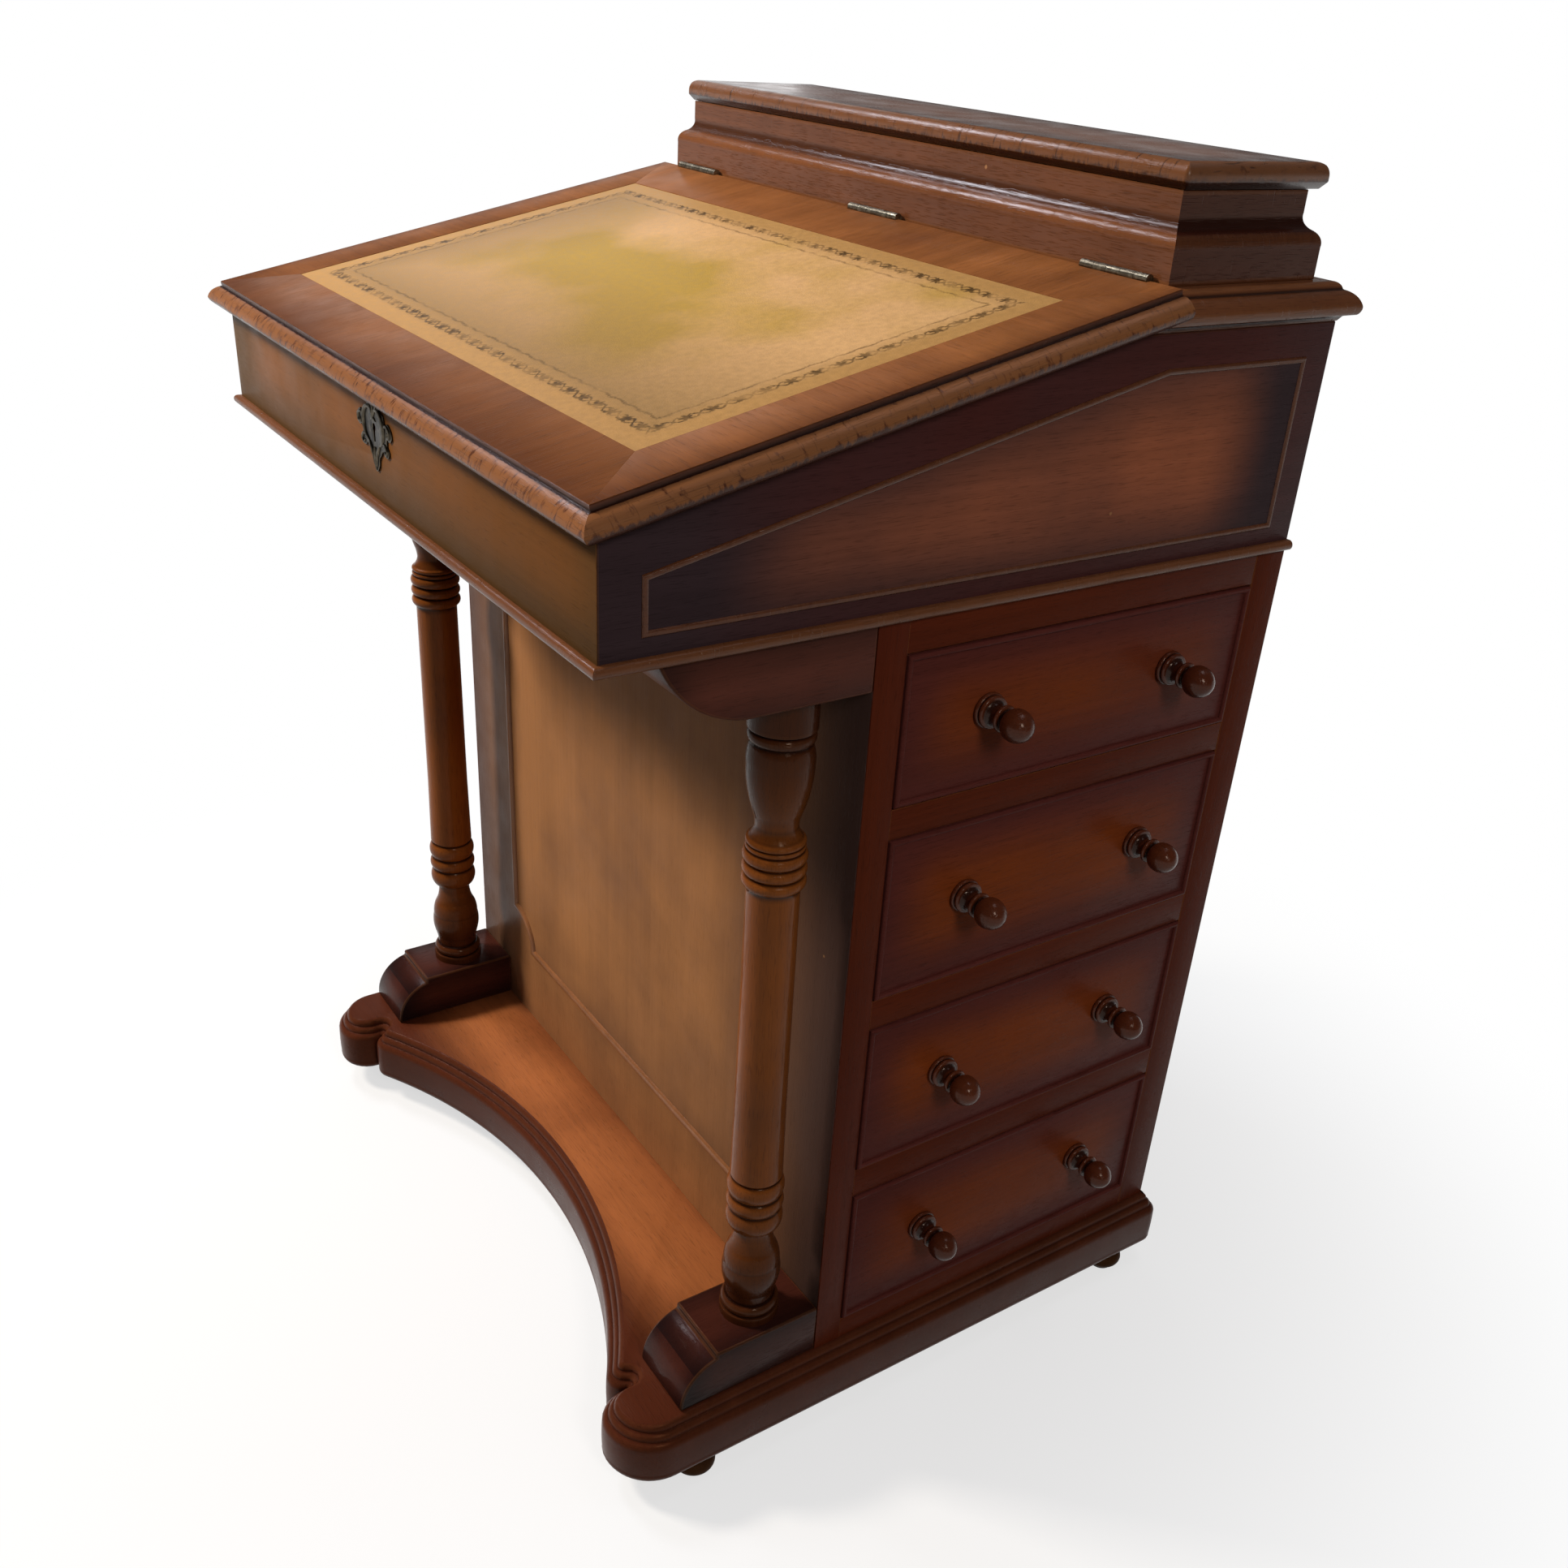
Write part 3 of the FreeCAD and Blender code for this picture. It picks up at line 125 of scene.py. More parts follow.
class DAVENPORT_PG_finish(bpy.types.PropertyGroup):
    """Colours of the finishes."""

    drawer_edge: colour("Drawer edge", "#5c2d28", "Mahogany at the edge of a drawer front")
    drawer_heart: colour("Drawer heart", "#863f1a", "Mahogany in the middle of a drawer front")
    case_edge: colour("Case edge", "#3c2f33", "Mahogany at the edge of a case panel")
    case_heart: colour("Case heart", "#a66245", "Mahogany in the middle of a case panel")
    panel_edge: colour("Pedestal edge", "#4c3832", "Edge of the pedestal's front panel")
    panel_heart: colour("Pedestal heart", "#ab774c", "Middle of the pedestal's front panel")
    slope_edge: colour("Front rail edge", "#5c4226", "Edge of the slope box front")
    slope_heart: colour("Front rail heart", "#ab6730", "Middle of the slope box front")
    base_edge: colour("Base edge", "#4c2416", "Base board near its edges")
    base_heart: colour("Base heart", "#9e5e35", "Middle of the base board's top")
    worn: colour("Worn polish", "#8c5a34", "Timber bared at rubbed edges")
    leather: colour("Leather", "#c89e6c", "Tan leather of the writing surface")
    leather_border: colour("Leather border", "#aa824e", "Leather outside the tooled band")
    tooling: colour("Tooling", "#3e2c16", "Worn lines and flowers pressed round the leather")
    brass: colour("Brass", "#a39880", "Aged brass of the hinges")
    bronze: colour("Bronze", "#5e5648", "Dark bronze of the key plate")
    lining: colour("Drawer lining", "#b88d5e", "Pale timber inside the drawers")


class DAVENPORT_PG_studio(bpy.types.PropertyGroup):
    """Camera and lamps."""

    azimuth: FloatProperty(
        name="Azimuth", description="Bearing of the camera round the desk",
        default=math.radians(53.55), unit="ROTATION", subtype="ANGLE",
    )
    elevation: FloatProperty(
        name="Elevation", description="Height of the camera above the horizon",
        default=math.radians(29.85), unit="ROTATION", subtype="ANGLE",
    )
    roll: FloatProperty(
        name="Roll", description="Tilt of the camera", default=math.radians(4.34),
        unit="ROTATION", subtype="ANGLE",
    )
    key: FloatProperty(
        name="Key lamp", description="Power of the main lamp at the front left", default=66,
        min=0, unit="POWER",
    )
    roof: FloatProperty(
        name="Roof window", description="Power of the cool lamp up on the left", default=16,
        min=0, unit="POWER",
    )
    sky: FloatProperty(
        name="Sky panel", description="Power of the soft lamp overhead", default=5,
        min=0, unit="POWER",
    )
    side: FloatProperty(
        name="Side window", description="Power of the lamp on the right", default=12,
        min=0, unit="POWER",
    )
    rear: FloatProperty(
        name="Rear lamp", description="Power of the cool lamp behind the gallery", default=3,
        min=0, unit="POWER",
    )
    room: FloatProperty(
        name="Room light", description="Strength of the even light all round", default=0.12,
        min=0, max=1,
    )


class DAVENPORT_PG_desk(bpy.types.PropertyGroup):
    """All settings of the desk."""

    sizes: PointerProperty(type=DAVENPORT_PG_sizes, name="Sizes")
    finish: PointerProperty(type=DAVENPORT_PG_finish, name="Finish")
    studio: PointerProperty(type=DAVENPORT_PG_studio, name="Studio")


# --- shapes -------------------------------------------------------------------------


class Section:
    """A drawn section, with how rubbed each of its points gets and how much painted shade its
    hollows and undersides take.
    """

    def __init__(self, legs, ease=0.5, closed=False, feel=2.4, bare=None, dark=None):
        points = soften(drawn(legs, closed), ease, closed)
        self.points = divided(points, closed)
        self.closed = closed
        self.wear, self.painted_shade = rubbed(self.points, feel, closed)
        if bare:
            self.wear = [bare(*point) for point in self.points]
        # dark adds painted shade to chosen places, such as quirks and the underside below a nose.
        if dark:
            self.painted_shade = [max(s, dark(*p)) for s, p in zip(self.painted_shade, self.points)]


def drawn(legs, closed):
    """Points along (out, up) or (out, up, bulge) legs; a positive bulge swells to the right."""
    points = []
    count = len(legs)
    for index, leg in enumerate(legs):
        start = Vector(leg[:2])
        points.append(start)
        if len(leg) < 3 or not leg[2] or (index == count - 1 and not closed):
            continue
        chord = Vector(legs[(index + 1) % count][:2]) - start
        bulge = leg[2]
        swing = 4 * math.atan(2 * abs(bulge) / chord.length)
        radius = chord.length / (2 * math.sin(swing / 2))
        side = Vector((chord.y, -chord.x)).normalized() * math.copysign(1, bulge)
        steps = max(4, min(18, round(radius * swing / 0.8)))
        for step in range(1, steps):
            angle = swing * (step / steps - 0.5)
            share = 0.5 + radius * math.sin(angle) / chord.length
            rise = radius * (math.cos(angle) - math.cos(swing / 2))
            points.append(start + chord * share + side * rise)
    return points


def soften(points, radius, closed):
    """Round the sharp corners of a run of points."""
    count = len(points)
    result = []
    for index, point in enumerate(points):
        if not closed and index in (0, count - 1):
            result.append(point)
            continue
        before = points[index - 1] - point
        after = points[(index + 1) % count] - point
        if min(before.length, after.length) < 1e-6:
            continue
        turn = math.pi - before.angle(after)
        cut = min(radius, 0.42 * before.length, 0.42 * after.length)
        if turn < math.radians(24) or cut < 0.04:
            result.append(point)
            continue
        first = point + before.normalized() * cut
        last = point + after.normalized() * cut
        result += [first, first * 0.25 + point * 0.5 + last * 0.25, last]
    return result


def divided(points, closed):
    """Add points near the ends of long legs, so that marks stay near corners."""
    result = []
    count = len(points)
    for index, point in enumerate(points):
        result.append(point)
        if index == count - 1 and not closed:
            break
        leg = points[(index + 1) % count] - point
        if leg.length > 5:
            result += [point + leg * (share / leg.length) for share in (0.9, 2.2)]
            result += [point + leg * (1 - share / leg.length) for share in (2.2, 0.9)]
    return result


def rubbed(points, feel, closed):
    """How far each point stands out of, or lies under, the points a few millimetres off. Standing
    out gives wear; lying under gives painted shade in the hollow.
    """
    count = len(points)

    def walk(index, step):
        left = feel
        here = index
        while True:
            after = here + step
            if closed:
                after %= count
            elif not 0 <= after < count:
                return points[here]
            leg = points[after] - points[here]
            if leg.length >= left:
                return points[here] + leg * (left / leg.length)
            left -= leg.length
            here = after
            if here == index:
                return points[here]

    wear, painted_shade = [], []
    for index, point in enumerate(points):
        before, after = walk(index, -1), walk(index, 1)
        run = after - before
        if run.length < 1e-6:
            wear.append(0)
            painted_shade.append(0)
            continue
        out = Vector((run.y, -run.x)).normalized()
        stand = (point - (before + after) / 2).dot(out)
        wear.append(min(1, max(0, stand / (0.34 * feel))))
        # A point that lies under its neighbours gets painted shade.
        painted_shade.append(min(1, max(0, -stand / (0.26 * feel))))
    return wear, painted_shade


class Look:
    """How the timber of one part of a piece runs, and where its panel's sides lie."""

    def __init__(self, along=UP, seed=0, field=None, wear=None):
        self.turn = along.rotation_difference(UP).to_matrix()
        chance = random.Random(seed)
        self.shift = Vector([chance.uniform(-400, 400) for _ in range(3)])
        self.field = field
        self.wear = wear


def panel_field(low, high, fade):
    """Distance to each side of a squared panel, as a share of its shading's width."""

    def sides(point, normal):
        facing = max(range(3), key=lambda axis: abs(normal[axis]))
        pair = [axis for axis in range(3) if axis != facing]
        return [
            distance / fade
            for axis in pair
            for distance in (point[axis] - low[axis], high[axis] - point[axis])
        ]

    return sides


def at_edge(point, normal):
    """Every point counts as lying at its panel's edge."""
    return [0, 0, 0, 0]


class Form:
    """The points and faces of one piece in millimetres, with what its finish needs."""

    def __init__(self):
        self.points = []
        self.faces = []
        self.looks = []
        self.eased = []
        self.wear = []
        self.painted_shade = []

    def take(self, points, faces, look, wear=None, painted_shade=None, eased=()):
        first = len(self.points)
        self.points += [Vector(point) for point in points]
        self.wear += wear or [0] * len(points)
        self.painted_shade += painted_shade or [0] * len(points)
        for index, face in enumerate(faces):
            self.faces.append([first + corner for corner in face])
            self.looks.append(look)
            self.eased.append(index in eased)

    def prism(self, outline, axis, low, high, look, ease=0.9):
        """An outline drawn square to an axis and given thickness, its edges eased."""
        shape = bmesh.new()
        ends = []
        for level in (low, high):
            ring = []
            for first, second in outline:
                place = [first, second]
                place.insert(axis, level)
                ring.append(shape.verts.new(place))
            ends.append(ring)
            shape.faces.new(ring)
        for index in range(len(outline)):
            after = (index + 1) % len(outline)
            shape.faces.new([ends[0][index], ends[0][after], ends[1][after], ends[1][index]])
        bmesh.ops.recalc_face_normals(shape, faces=shape.faces)
        self.take_eased(shape, look, ease)

    def take_eased(self, shape, look, ease):
        """Ease the edges of a shape and take it over."""
        soft = []
        if ease:
            edges = [e for e in shape.edges if e.calc_face_angle(0) > math.radians(24)]
            soft = bmesh.ops.bevel(
                shape, geom=edges, offset=ease, offset_type="OFFSET", segments=3,
                profile=0.5, affect="EDGES", clamp_overlap=True,
            )["faces"]
        shape.verts.index_update()
        shape.faces.index_update()
        faces = [[v.index for v in face.verts] for face in shape.faces]
        eased = {face.index for face in soft}
        self.take([v.co.copy() for v in shape.verts], faces, look, eased=eased)
        shape.free()

    def pierced_front(self, section, hole, half, look, ease=0.5):
        """A board of even section in y and z that runs along x, with a hole through it."""
        shape = bmesh.new()
        rings = []
        for end in (0, 1):
            levels = section[0:1] + section[-1:] if end == 0 else section[1:3]
            (y_low, z_low), (y_high, z_high) = levels
            outer = [(-half, z_low), (half, z_low), (half, z_high), (-half, z_high)]
            ring = []
            for x, z in outer + list(hole):
                lean = (y_high - y_low) * (z - z_low) / (z_high - z_low)
                ring.append(shape.verts.new((x, y_low + lean, z)))
            rings.append(ring)
            edges = [
                shape.edges.new((ring[first + index], ring[first + (index + 1) % 4]))
                for first in (0, 4) for index in range(4)
            ]
            bmesh.ops.triangle_fill(shape, use_beauty=True, edges=edges)
        for first in (0, 4):
            for index in range(4):
                after = (index + 1) % 4
                shape.faces.new([
                    rings[0][first + index], rings[0][first + after],
                    rings[1][first + after], rings[1][first + index],
                ])
        bmesh.ops.recalc_face_normals(shape, faces=shape.faces)
        self.take_eased(shape, look, ease)

    def plate(self, outline, holes, low, high, look, ease=0.3):
        """A pierced plate whose outline is drawn in x and z, between two places in y."""
        shape = bmesh.new()
        rings = []
        for y in (low, high):
            ring, edges = [], []
            for loop in (outline, *holes):
                corners = [shape.verts.new((x, y, z)) for x, z in loop]
                ring.append(corners)
                edges += [
                    shape.edges.new(pair) for pair in zip(corners, corners[1:] + corners[:1])
                ]
            rings.append(ring)
            bmesh.ops.triangle_fill(shape, use_beauty=True, edges=edges)
        for near, far in zip(*rings):
            for index in range(len(near)):
                after = (index + 1) % len(near)
                shape.faces.new([near[index], near[after], far[after], far[index]])
        bmesh.ops.recalc_face_normals(shape, faces=shape.faces)
        self.take_eased(shape, look, ease)

    def stroke(self, path, radii, look, steps=8):
        """A round strand that swells and thins along a path."""
        path = [Vector(point) for point in path]
        points, faces = [], []
        for index, (point, radius) in enumerate(zip(path, radii)):
            ahead = path[min(index + 1, len(path) - 1)] - path[max(index - 1, 0)]
            across = ahead.cross(ALONG_Y).normalized()
            for step in range(steps):
                angle = 2 * math.pi * step / steps
                points.append(
                    point + across * radius * math.cos(angle)
                    + ALONG_Y * radius * 0.8 * math.sin(angle)
                )
        for index in range(len(path) - 1):
            for step in range(steps):
                after = (step + 1) % steps
                faces.append((
                    index * steps + step, index * steps + after,
                    (index + 1) * steps + after, (index + 1) * steps + step,
                ))
        faces += [tuple(range(steps)), tuple(range(len(points) - steps, len(points)))]
        self.take(points, faces, look)

    def slab(self, columns, rows, place, down, look):
        """A thin veneer on a grid, so that its shading can follow any outline."""
        points, faces = [], []
        for layer in (Vector(), down):
            for column in columns:
                points += [place(column, row / rows) + layer for row in range(rows + 1)]
        count = len(columns)
        size = rows + 1
        total = count * size
        for column in range(count - 1):
            for row in range(rows):
                corner = column * size + row
                quad = (corner, corner + 1, corner + size + 1, corner + size)
                faces += [quad, tuple(total + index for index in quad)]
        border = [column * size for column in range(count)]
        border += [(count - 1) * size + row for row in range(1, size)]
        border += [column * size + rows for column in range(count - 2, -1, -1)]
        border += [row for row in range(rows - 1, 0, -1)]
        for first, second in zip(border, border[1:] + border[:1]):
            faces.append((first, second, total + second, total + first))
        self.take(points, faces, look)

    def board(self, low, high, look, ease=0.9):
        outline = [(low[0], low[1]), (high[0], low[1]), (high[0], high[1]), (low[0], high[1])]
        self.prism(outline, 2, low[2], high[2], look, ease)

    def strip(self, section, start, end, look):
        """A straight length of moulding between two ends, each a place for (out, up)."""
        count = len(section.points)
        points = [start(*point) for point in section.points]
        points += [end(*point) for point in section.points]
        last = count if section.closed else count - 1
        faces = [
            (index, (index + 1) % count, count + (index + 1) % count, count + index)
            for index in range(last)
        ]
        faces += [tuple(range(count)), tuple(range(count, 2 * count))]
        self.take(points, faces, look, section.wear * 2, section.painted_shade * 2)

    def loops(self, section, loop, look, caps=True):
        """Loops drawn round a section, each as loop(out, up) gives it."""
        rings = [loop(*point) for point in section.points]
        size = len(rings[0])
        count = len(rings)
        points = [point for ring in rings for point in ring]
        last = count if section.closed else count - 1
        faces = []
        for ring in range(last):
            above = (ring + 1) % count
            for index in range(size):
                after = (index + 1) % size
                faces.append((
                    ring * size + index,
                    ring * size + after,
                    above * size + after,
                    above * size + index,
                ))
        if caps and not section.closed:
            faces.append(tuple(range(size)))
            faces.append(tuple(range((count - 1) * size, count * size)))
        wear = [value for value in section.wear for _ in range(size)]
        painted_shade = [value for value in section.painted_shade for _ in range(size)]
        self.take(points, faces, look, wear, painted_shade)

    def turned(self, section, place, look, steps=72):
        """A turning. The section is (radius, height), and place puts a point of it."""
        points, faces, wear, painted_shade = [], [], [], []
        rings = []
        for (radius, height), rub, shade_level in zip(section.points, section.wear, section.painted_shade):
            sides = steps if radius > 0.01 else 1
            rings.append((len(points), sides))
            for side in range(sides):
                points.append(place(radius, height, 2 * math.pi * side / steps))
                wear.append(rub)
                painted_shade.append(shade_level)
        for (low, sides), (high, high_sides) in zip(rings, rings[1:]):
            for side in range(steps):
                after = (side + 1) % steps
                if sides == 1:
                    faces.append((low, high + after, high + side))
                elif high_sides == 1:
                    faces.append((low + side, low + after, high))
                else:
                    faces.append((low + side, low + after, high + after, high + side))
        for first, sides in (rings[0], rings[-1]):
            if sides > 1:
                faces.append(tuple(range(first, first + sides)))
        self.take(points, faces, look, wear, painted_shade)

    def build(self, name, body, finish, slot, replaces=(), laid=None):
        """Make the piece, write its marks, and let it ride on its body."""
        mesh = bpy.data.meshes.new(name)
        places = [laid @ point if laid else point for point in self.points]
        mesh.from_pydata([place * MM for place in places], [], self.faces)
        shape = bmesh.new()
        shape.from_mesh(mesh)
        bmesh.ops.recalc_face_normals(shape, faces=shape.faces)
        shape.to_mesh(mesh)
        shape.free()
        write_marks(mesh, self.points, self.looks, self.eased, self.wear, self.painted_shade)
        mesh.materials.append(finish)
        mesh.shade_smooth()
        mesh.set_sharp_from_angle(angle=math.radians(34))
        piece = bpy.data.objects.new(name, mesh)
        bpy.context.scene.collection.objects.link(piece)
        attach(piece, body)
        if replaces:
            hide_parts(*replaces)
        return piece


def write_marks(mesh, points, looks, eased, wear, painted_shade):
    """Store grain, reach, wear and painted shade on every corner of a mesh."""
    grain, reach, rub, shade_level = [], [], [], []
    for face, look, soft in zip(mesh.polygons, looks, eased):
        corners = [points[index] for index in face.vertices]
        normal = flat_normal(corners)
        for index, corner in zip(face.vertices, corners):
            grain += [value * MM for value in look.turn @ corner + look.shift]
            reach += look.field(corner, normal) if look.field else [9, 9, 9, 9]
            if look.wear is not None:
                rub.append(look.wear)
            else:
                rub.append(1.0 if soft else wear[index])
            shade_level.append(painted_shade[index])
    for name, kind, key, values in (
        ("grain", "FLOAT_VECTOR", "vector", grain),
        ("reach", "FLOAT_COLOR", "color", reach),
        ("wear", "FLOAT", "value", rub),
        ("painted_shade", "FLOAT", "value", shade_level),
    ):
        mark = mesh.attributes.new(name, kind, "CORNER")
        mark.data.foreach_set(key, values)


def flat_normal(corners):
    """The direction a flat face looks in, from its corners."""
    total = Vector()
    for corner, after in zip(corners, corners[1:] + corners[:1]):
        total += corner.cross(after)
    return total.normalized() if total.length > 1e-9 else UP


def span(node):
    """Lowest and highest corner of a node in millimetres."""
    low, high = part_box(node)
    return low / MM, high / MM


def dress(node, finish, along, seed=0, field=None):
    """Give a node of the frame a finish, with the marks that the finish reads."""
    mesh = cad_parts[node].data
    look = Look(along, seed, field, wear=0)
    points = [vertex.co / MM for vertex in mesh.vertices]
    count = len(mesh.polygons)
    blank = [0] * len(points)
    write_marks(mesh, points, [look] * count, [False] * count, blank, blank)
    mesh.materials.clear()
    mesh.materials.append(finish)


# --- finishes -----------------------------------------------------------------------


def blank_material(name):
    """A material that holds only a shader and its output."""
    material = bpy.data.materials.new(name)
    material.use_nodes = True
    tree = material.node_tree
    tree.nodes.clear()
    shader = add(tree, "ShaderNodeBsdfPrincipled")
    add(tree, "ShaderNodeOutputMaterial", {"Surface": shader})
    return material, tree, shader


def polished_mahogany(
    name, edge, heart, settings, rub=0.3, gloss=0.27, sheen=0.04, varnish="#ffb684",
    figure=0.6, clouds=1.0, ragged=0.4, cuts=0.0,
):
    """Mahogany stained and French polished by hand, dark at the edges and amber in the heart.

    The eye gets a deep glossy red brown, fine pores and soft ribbons along the grain, pale orange
    timber and dark ticks where hands have rubbed it, and painted shade in quirks and hollows.
    """
    if name in bpy.data.materials:
        return bpy.data.materials[name]
    material, tree, shader = blank_material(name)
    grain = add(tree, "ShaderNodeAttribute", attribute_name="grain").outputs["Vector"]
    reach = add(tree, "ShaderNodeAttribute", attribute_name="reach")
    wear = add(tree, "ShaderNodeAttribute", attribute_name="wear").outputs["Fac"]
    painted_shade = add(tree, "ShaderNodeAttribute", attribute_name="painted_shade").outputs["Fac"]
    sides = add(tree, "ShaderNodeSeparateColor", {0: reach.outputs["Color"]})
    lit = None
    for side in [*sides.outputs, reach.outputs["Alpha"]]:
        share = add(
            tree, "ShaderNodeMapRange", {"Value": side}, interpolation_type="SMOOTHSTEP",
        )
        lit = share if lit is None else add(
            tree, "ShaderNodeMath", {0: lit, 1: share}, operation="MULTIPLY",
        )

    # Clouds of stain about 110 mm across, with mottles down to 8 mm, that run on over joints.
    whole = add(tree, "ShaderNodeTexCoord").outputs["Object"]
    cloud = add(tree, "ShaderNodeTexNoise", {"Vector": whole, "Scale": 9, "Detail": 4})
    clouded = add(
        tree, "ShaderNodeMapRange",
        {"Value": cloud, "From Min": 0.3, "From Max": 0.7,
         "To Min": 1 - 0.45 * clouds, "To Max": 1 + 0.15 * clouds},
    )
    amber = add(
        tree, "ShaderNodeMath", {0: lit, 1: clouded}, operation="MULTIPLY", use_clamp=True,
    )
    body = add(
        tree, "ShaderNodeMix", {0: amber, 6: (*edge, 1), 7: (*heart, 1)}, data_type="RGBA",
    )

    # Ribbons about 20 mm wide and 400 mm long, streaks 3 mm wide and 150 mm long.
    ribbon = add(
        tree, "ShaderNodeTexNoise",
        {
            "Vector": add(tree, "ShaderNodeMapping", {"Vector": grain, "Scale": (46, 46, 2.6)}),
            "Scale": 1, "Detail": 2, "Distortion": 0.5,
        },
    )
    streak = add(
        tree, "ShaderNodeTexNoise",
        {
            "Vector": add(tree, "ShaderNodeMapping", {"Vector": grain, "Scale": (340, 340, 7)}),
            "Scale": 1, "Detail": 3,
        },
    )
    # Pores are 0.2 mm wide in the timber; drawn 0.6 mm wide and 11 mm long so that they show.
    pore = add(
        tree, "ShaderNodeTexNoise",
        {
            "Vector": add(
                tree, "ShaderNodeMapping", {"Vector": grain, "Scale": (1600, 1600, 90)},
            ),
            "Scale": 1, "Detail": 1,
        },
    )
    open_pore = add(
        tree, "ShaderNodeMapRange", {"Value": pore, "From Min": 0.57, "From Max": 0.7},
    )
    tone = add(
        tree, "ShaderNodeMapRange",
        {"Value": ribbon, "From Min": 0.3, "From Max": 0.7,
         "To Min": 1 - 0.17 * figure, "To Max": 1 + 0.17 * figure},
    )
    fine = add(
        tree, "ShaderNodeMapRange",
        {"Value": streak, "From Min": 0.3, "From Max": 0.7,
         "To Min": 1 - 0.12 * figure, "To Max": 1 + 0.12 * figure},
    )
    tone = add(tree, "ShaderNodeMath", {0: tone, 1: fine}, operation="MULTIPLY")
    dark = add(
        tree, "ShaderNodeMath", {0: open_pore, 1: -0.4 * figure, 2: 1.0},
        operation="MULTIPLY_ADD",
    )
    tone = add(tree, "ShaderNodeMath", {0: tone, 1: dark}, operation="MULTIPLY")
    timber = add(tree, "ShaderNodeVectorMath", {0: body, "Scale": tone}, operation="SCALE")

    # Rubbed edges: bare timber whose border is ragged with chips about 3 mm by 8 mm.
    chip = add(
        tree, "ShaderNodeTexNoise",
        {
            "Vector": add(
                tree, "ShaderNodeMapping",
                {"Vector": grain, "Rotation": (0.7, 0.5, 0), "Scale": (130, 130, 330)},
            ),
            "Scale": 1, "Detail": 4, "Roughness": 0.6,
        },
    )
    bare = add(tree, "ShaderNodeMath", {0: chip, 1: ragged, 2: wear}, operation="MULTIPLY_ADD")
    bare = add(
        tree, "ShaderNodeMapRange",
        {"Value": bare, "From Min": 0.3 + ragged / 2, "From Max": 0.64 + ragged / 2 - 0.08 * ragged,
         "To Max": rub},
    )
    pale = add(
        tree, "ShaderNodeVectorMath", {0: (*settings.finish.worn,), "Scale": tone},
        operation="SCALE",
    )
    timber = add(tree, "ShaderNodeMix", {0: bare, 6: timber, 7: pale}, data_type="RGBA")
    # Cuts across the edge, 1 mm wide and 10 mm long.
    tick = add(
        tree, "ShaderNodeTexNoise",
        {
            "Vector": add(tree, "ShaderNodeMapping", {"Vector": grain, "Scale": (60, 60, 620)}),
            "Scale": 1, "Detail": 2,
        },
    )
    tick = add(tree, "ShaderNodeMapRange", {"Value": tick, "From Min": 0.64, "From Max": 0.7})
    nearby = add(tree, "ShaderNodeMath", {0: wear, 1: 1.6}, operation="MULTIPLY", use_clamp=True)
    tick = add(tree, "ShaderNodeMath", {0: tick, 1: nearby}, operation="MULTIPLY")
    scar = add(tree, "ShaderNodeMath", {0: tick, 1: cuts}, operation="MULTIPLY")
    # Painted shade in the hollows and under the noses darkens the timber, together with the cuts.
    shade_and_cuts = add(tree, "ShaderNodeMath", {0: painted_shade, 1: 0.85}, operation="MULTIPLY")
    shade_and_cuts = add(tree, "ShaderNodeMath", {0: shade_and_cuts, 1: scar}, operation="MAXIMUM")
    timber = add(
        tree, "ShaderNodeMix", {0: shade_and_cuts, 6: timber, 7: linear("#1c0b07")}, data_type="RGBA",
    )
    # A few small knocks that show pale.
    knock = add(tree, "ShaderNodeTexVoronoi", {"Vector": grain, "Scale": 13, "Randomness": 1})
    knock = add(
        tree, "ShaderNodeMapRange",
        {"Value": knock, "From Min": 0.018, "From Max": 0.011, "To Max": 0.6},
    )
    timber = add(
        tree, "ShaderNodeMix", {0: knock, 6: timber, 7: linear("#b8875a")}, data_type="RGBA",
    )
    tree.links.new(timber.outputs[2], shader.inputs["Base Color"])

    ripple = add(tree, "ShaderNodeTexNoise", {"Vector": grain, "Scale": 38, "Detail": 4})
    rough = add(
        tree, "ShaderNodeMapRange",
        {"Value": ripple, "From Min": 0.3, "From Max": 0.7,
         "To Min": gloss - 0.05, "To Max": gloss + 0.08},
    )
    rough = add(
        tree, "ShaderNodeMath", {0: bare, 1: 0.16, 2: rough}, operation="MULTIPLY_ADD",
    )
    tree.links.new(rough.outputs[0], shader.inputs["Roughness"])
    height = add(
        tree, "ShaderNodeMath", {0: ripple, 1: 0.35, 2: open_pore}, operation="MULTIPLY_ADD",
    )
    height = add(
        tree, "ShaderNodeMath", {0: tick, 1: -3.0, 2: height}, operation="MULTIPLY_ADD",
    )
    bump = add(
        tree, "ShaderNodeBump", {"Strength": 0.3, "Distance": 0.0002, "Height": height},
    )
    tree.links.new(bump.outputs[0], shader.inputs["Normal"])
    shader.inputs["IOR"].default_value = 1.5
    shader.inputs["Specular IOR Level"].default_value = sheen
    shader.inputs["Specular Tint"].default_value = linear(varnish)
    return material


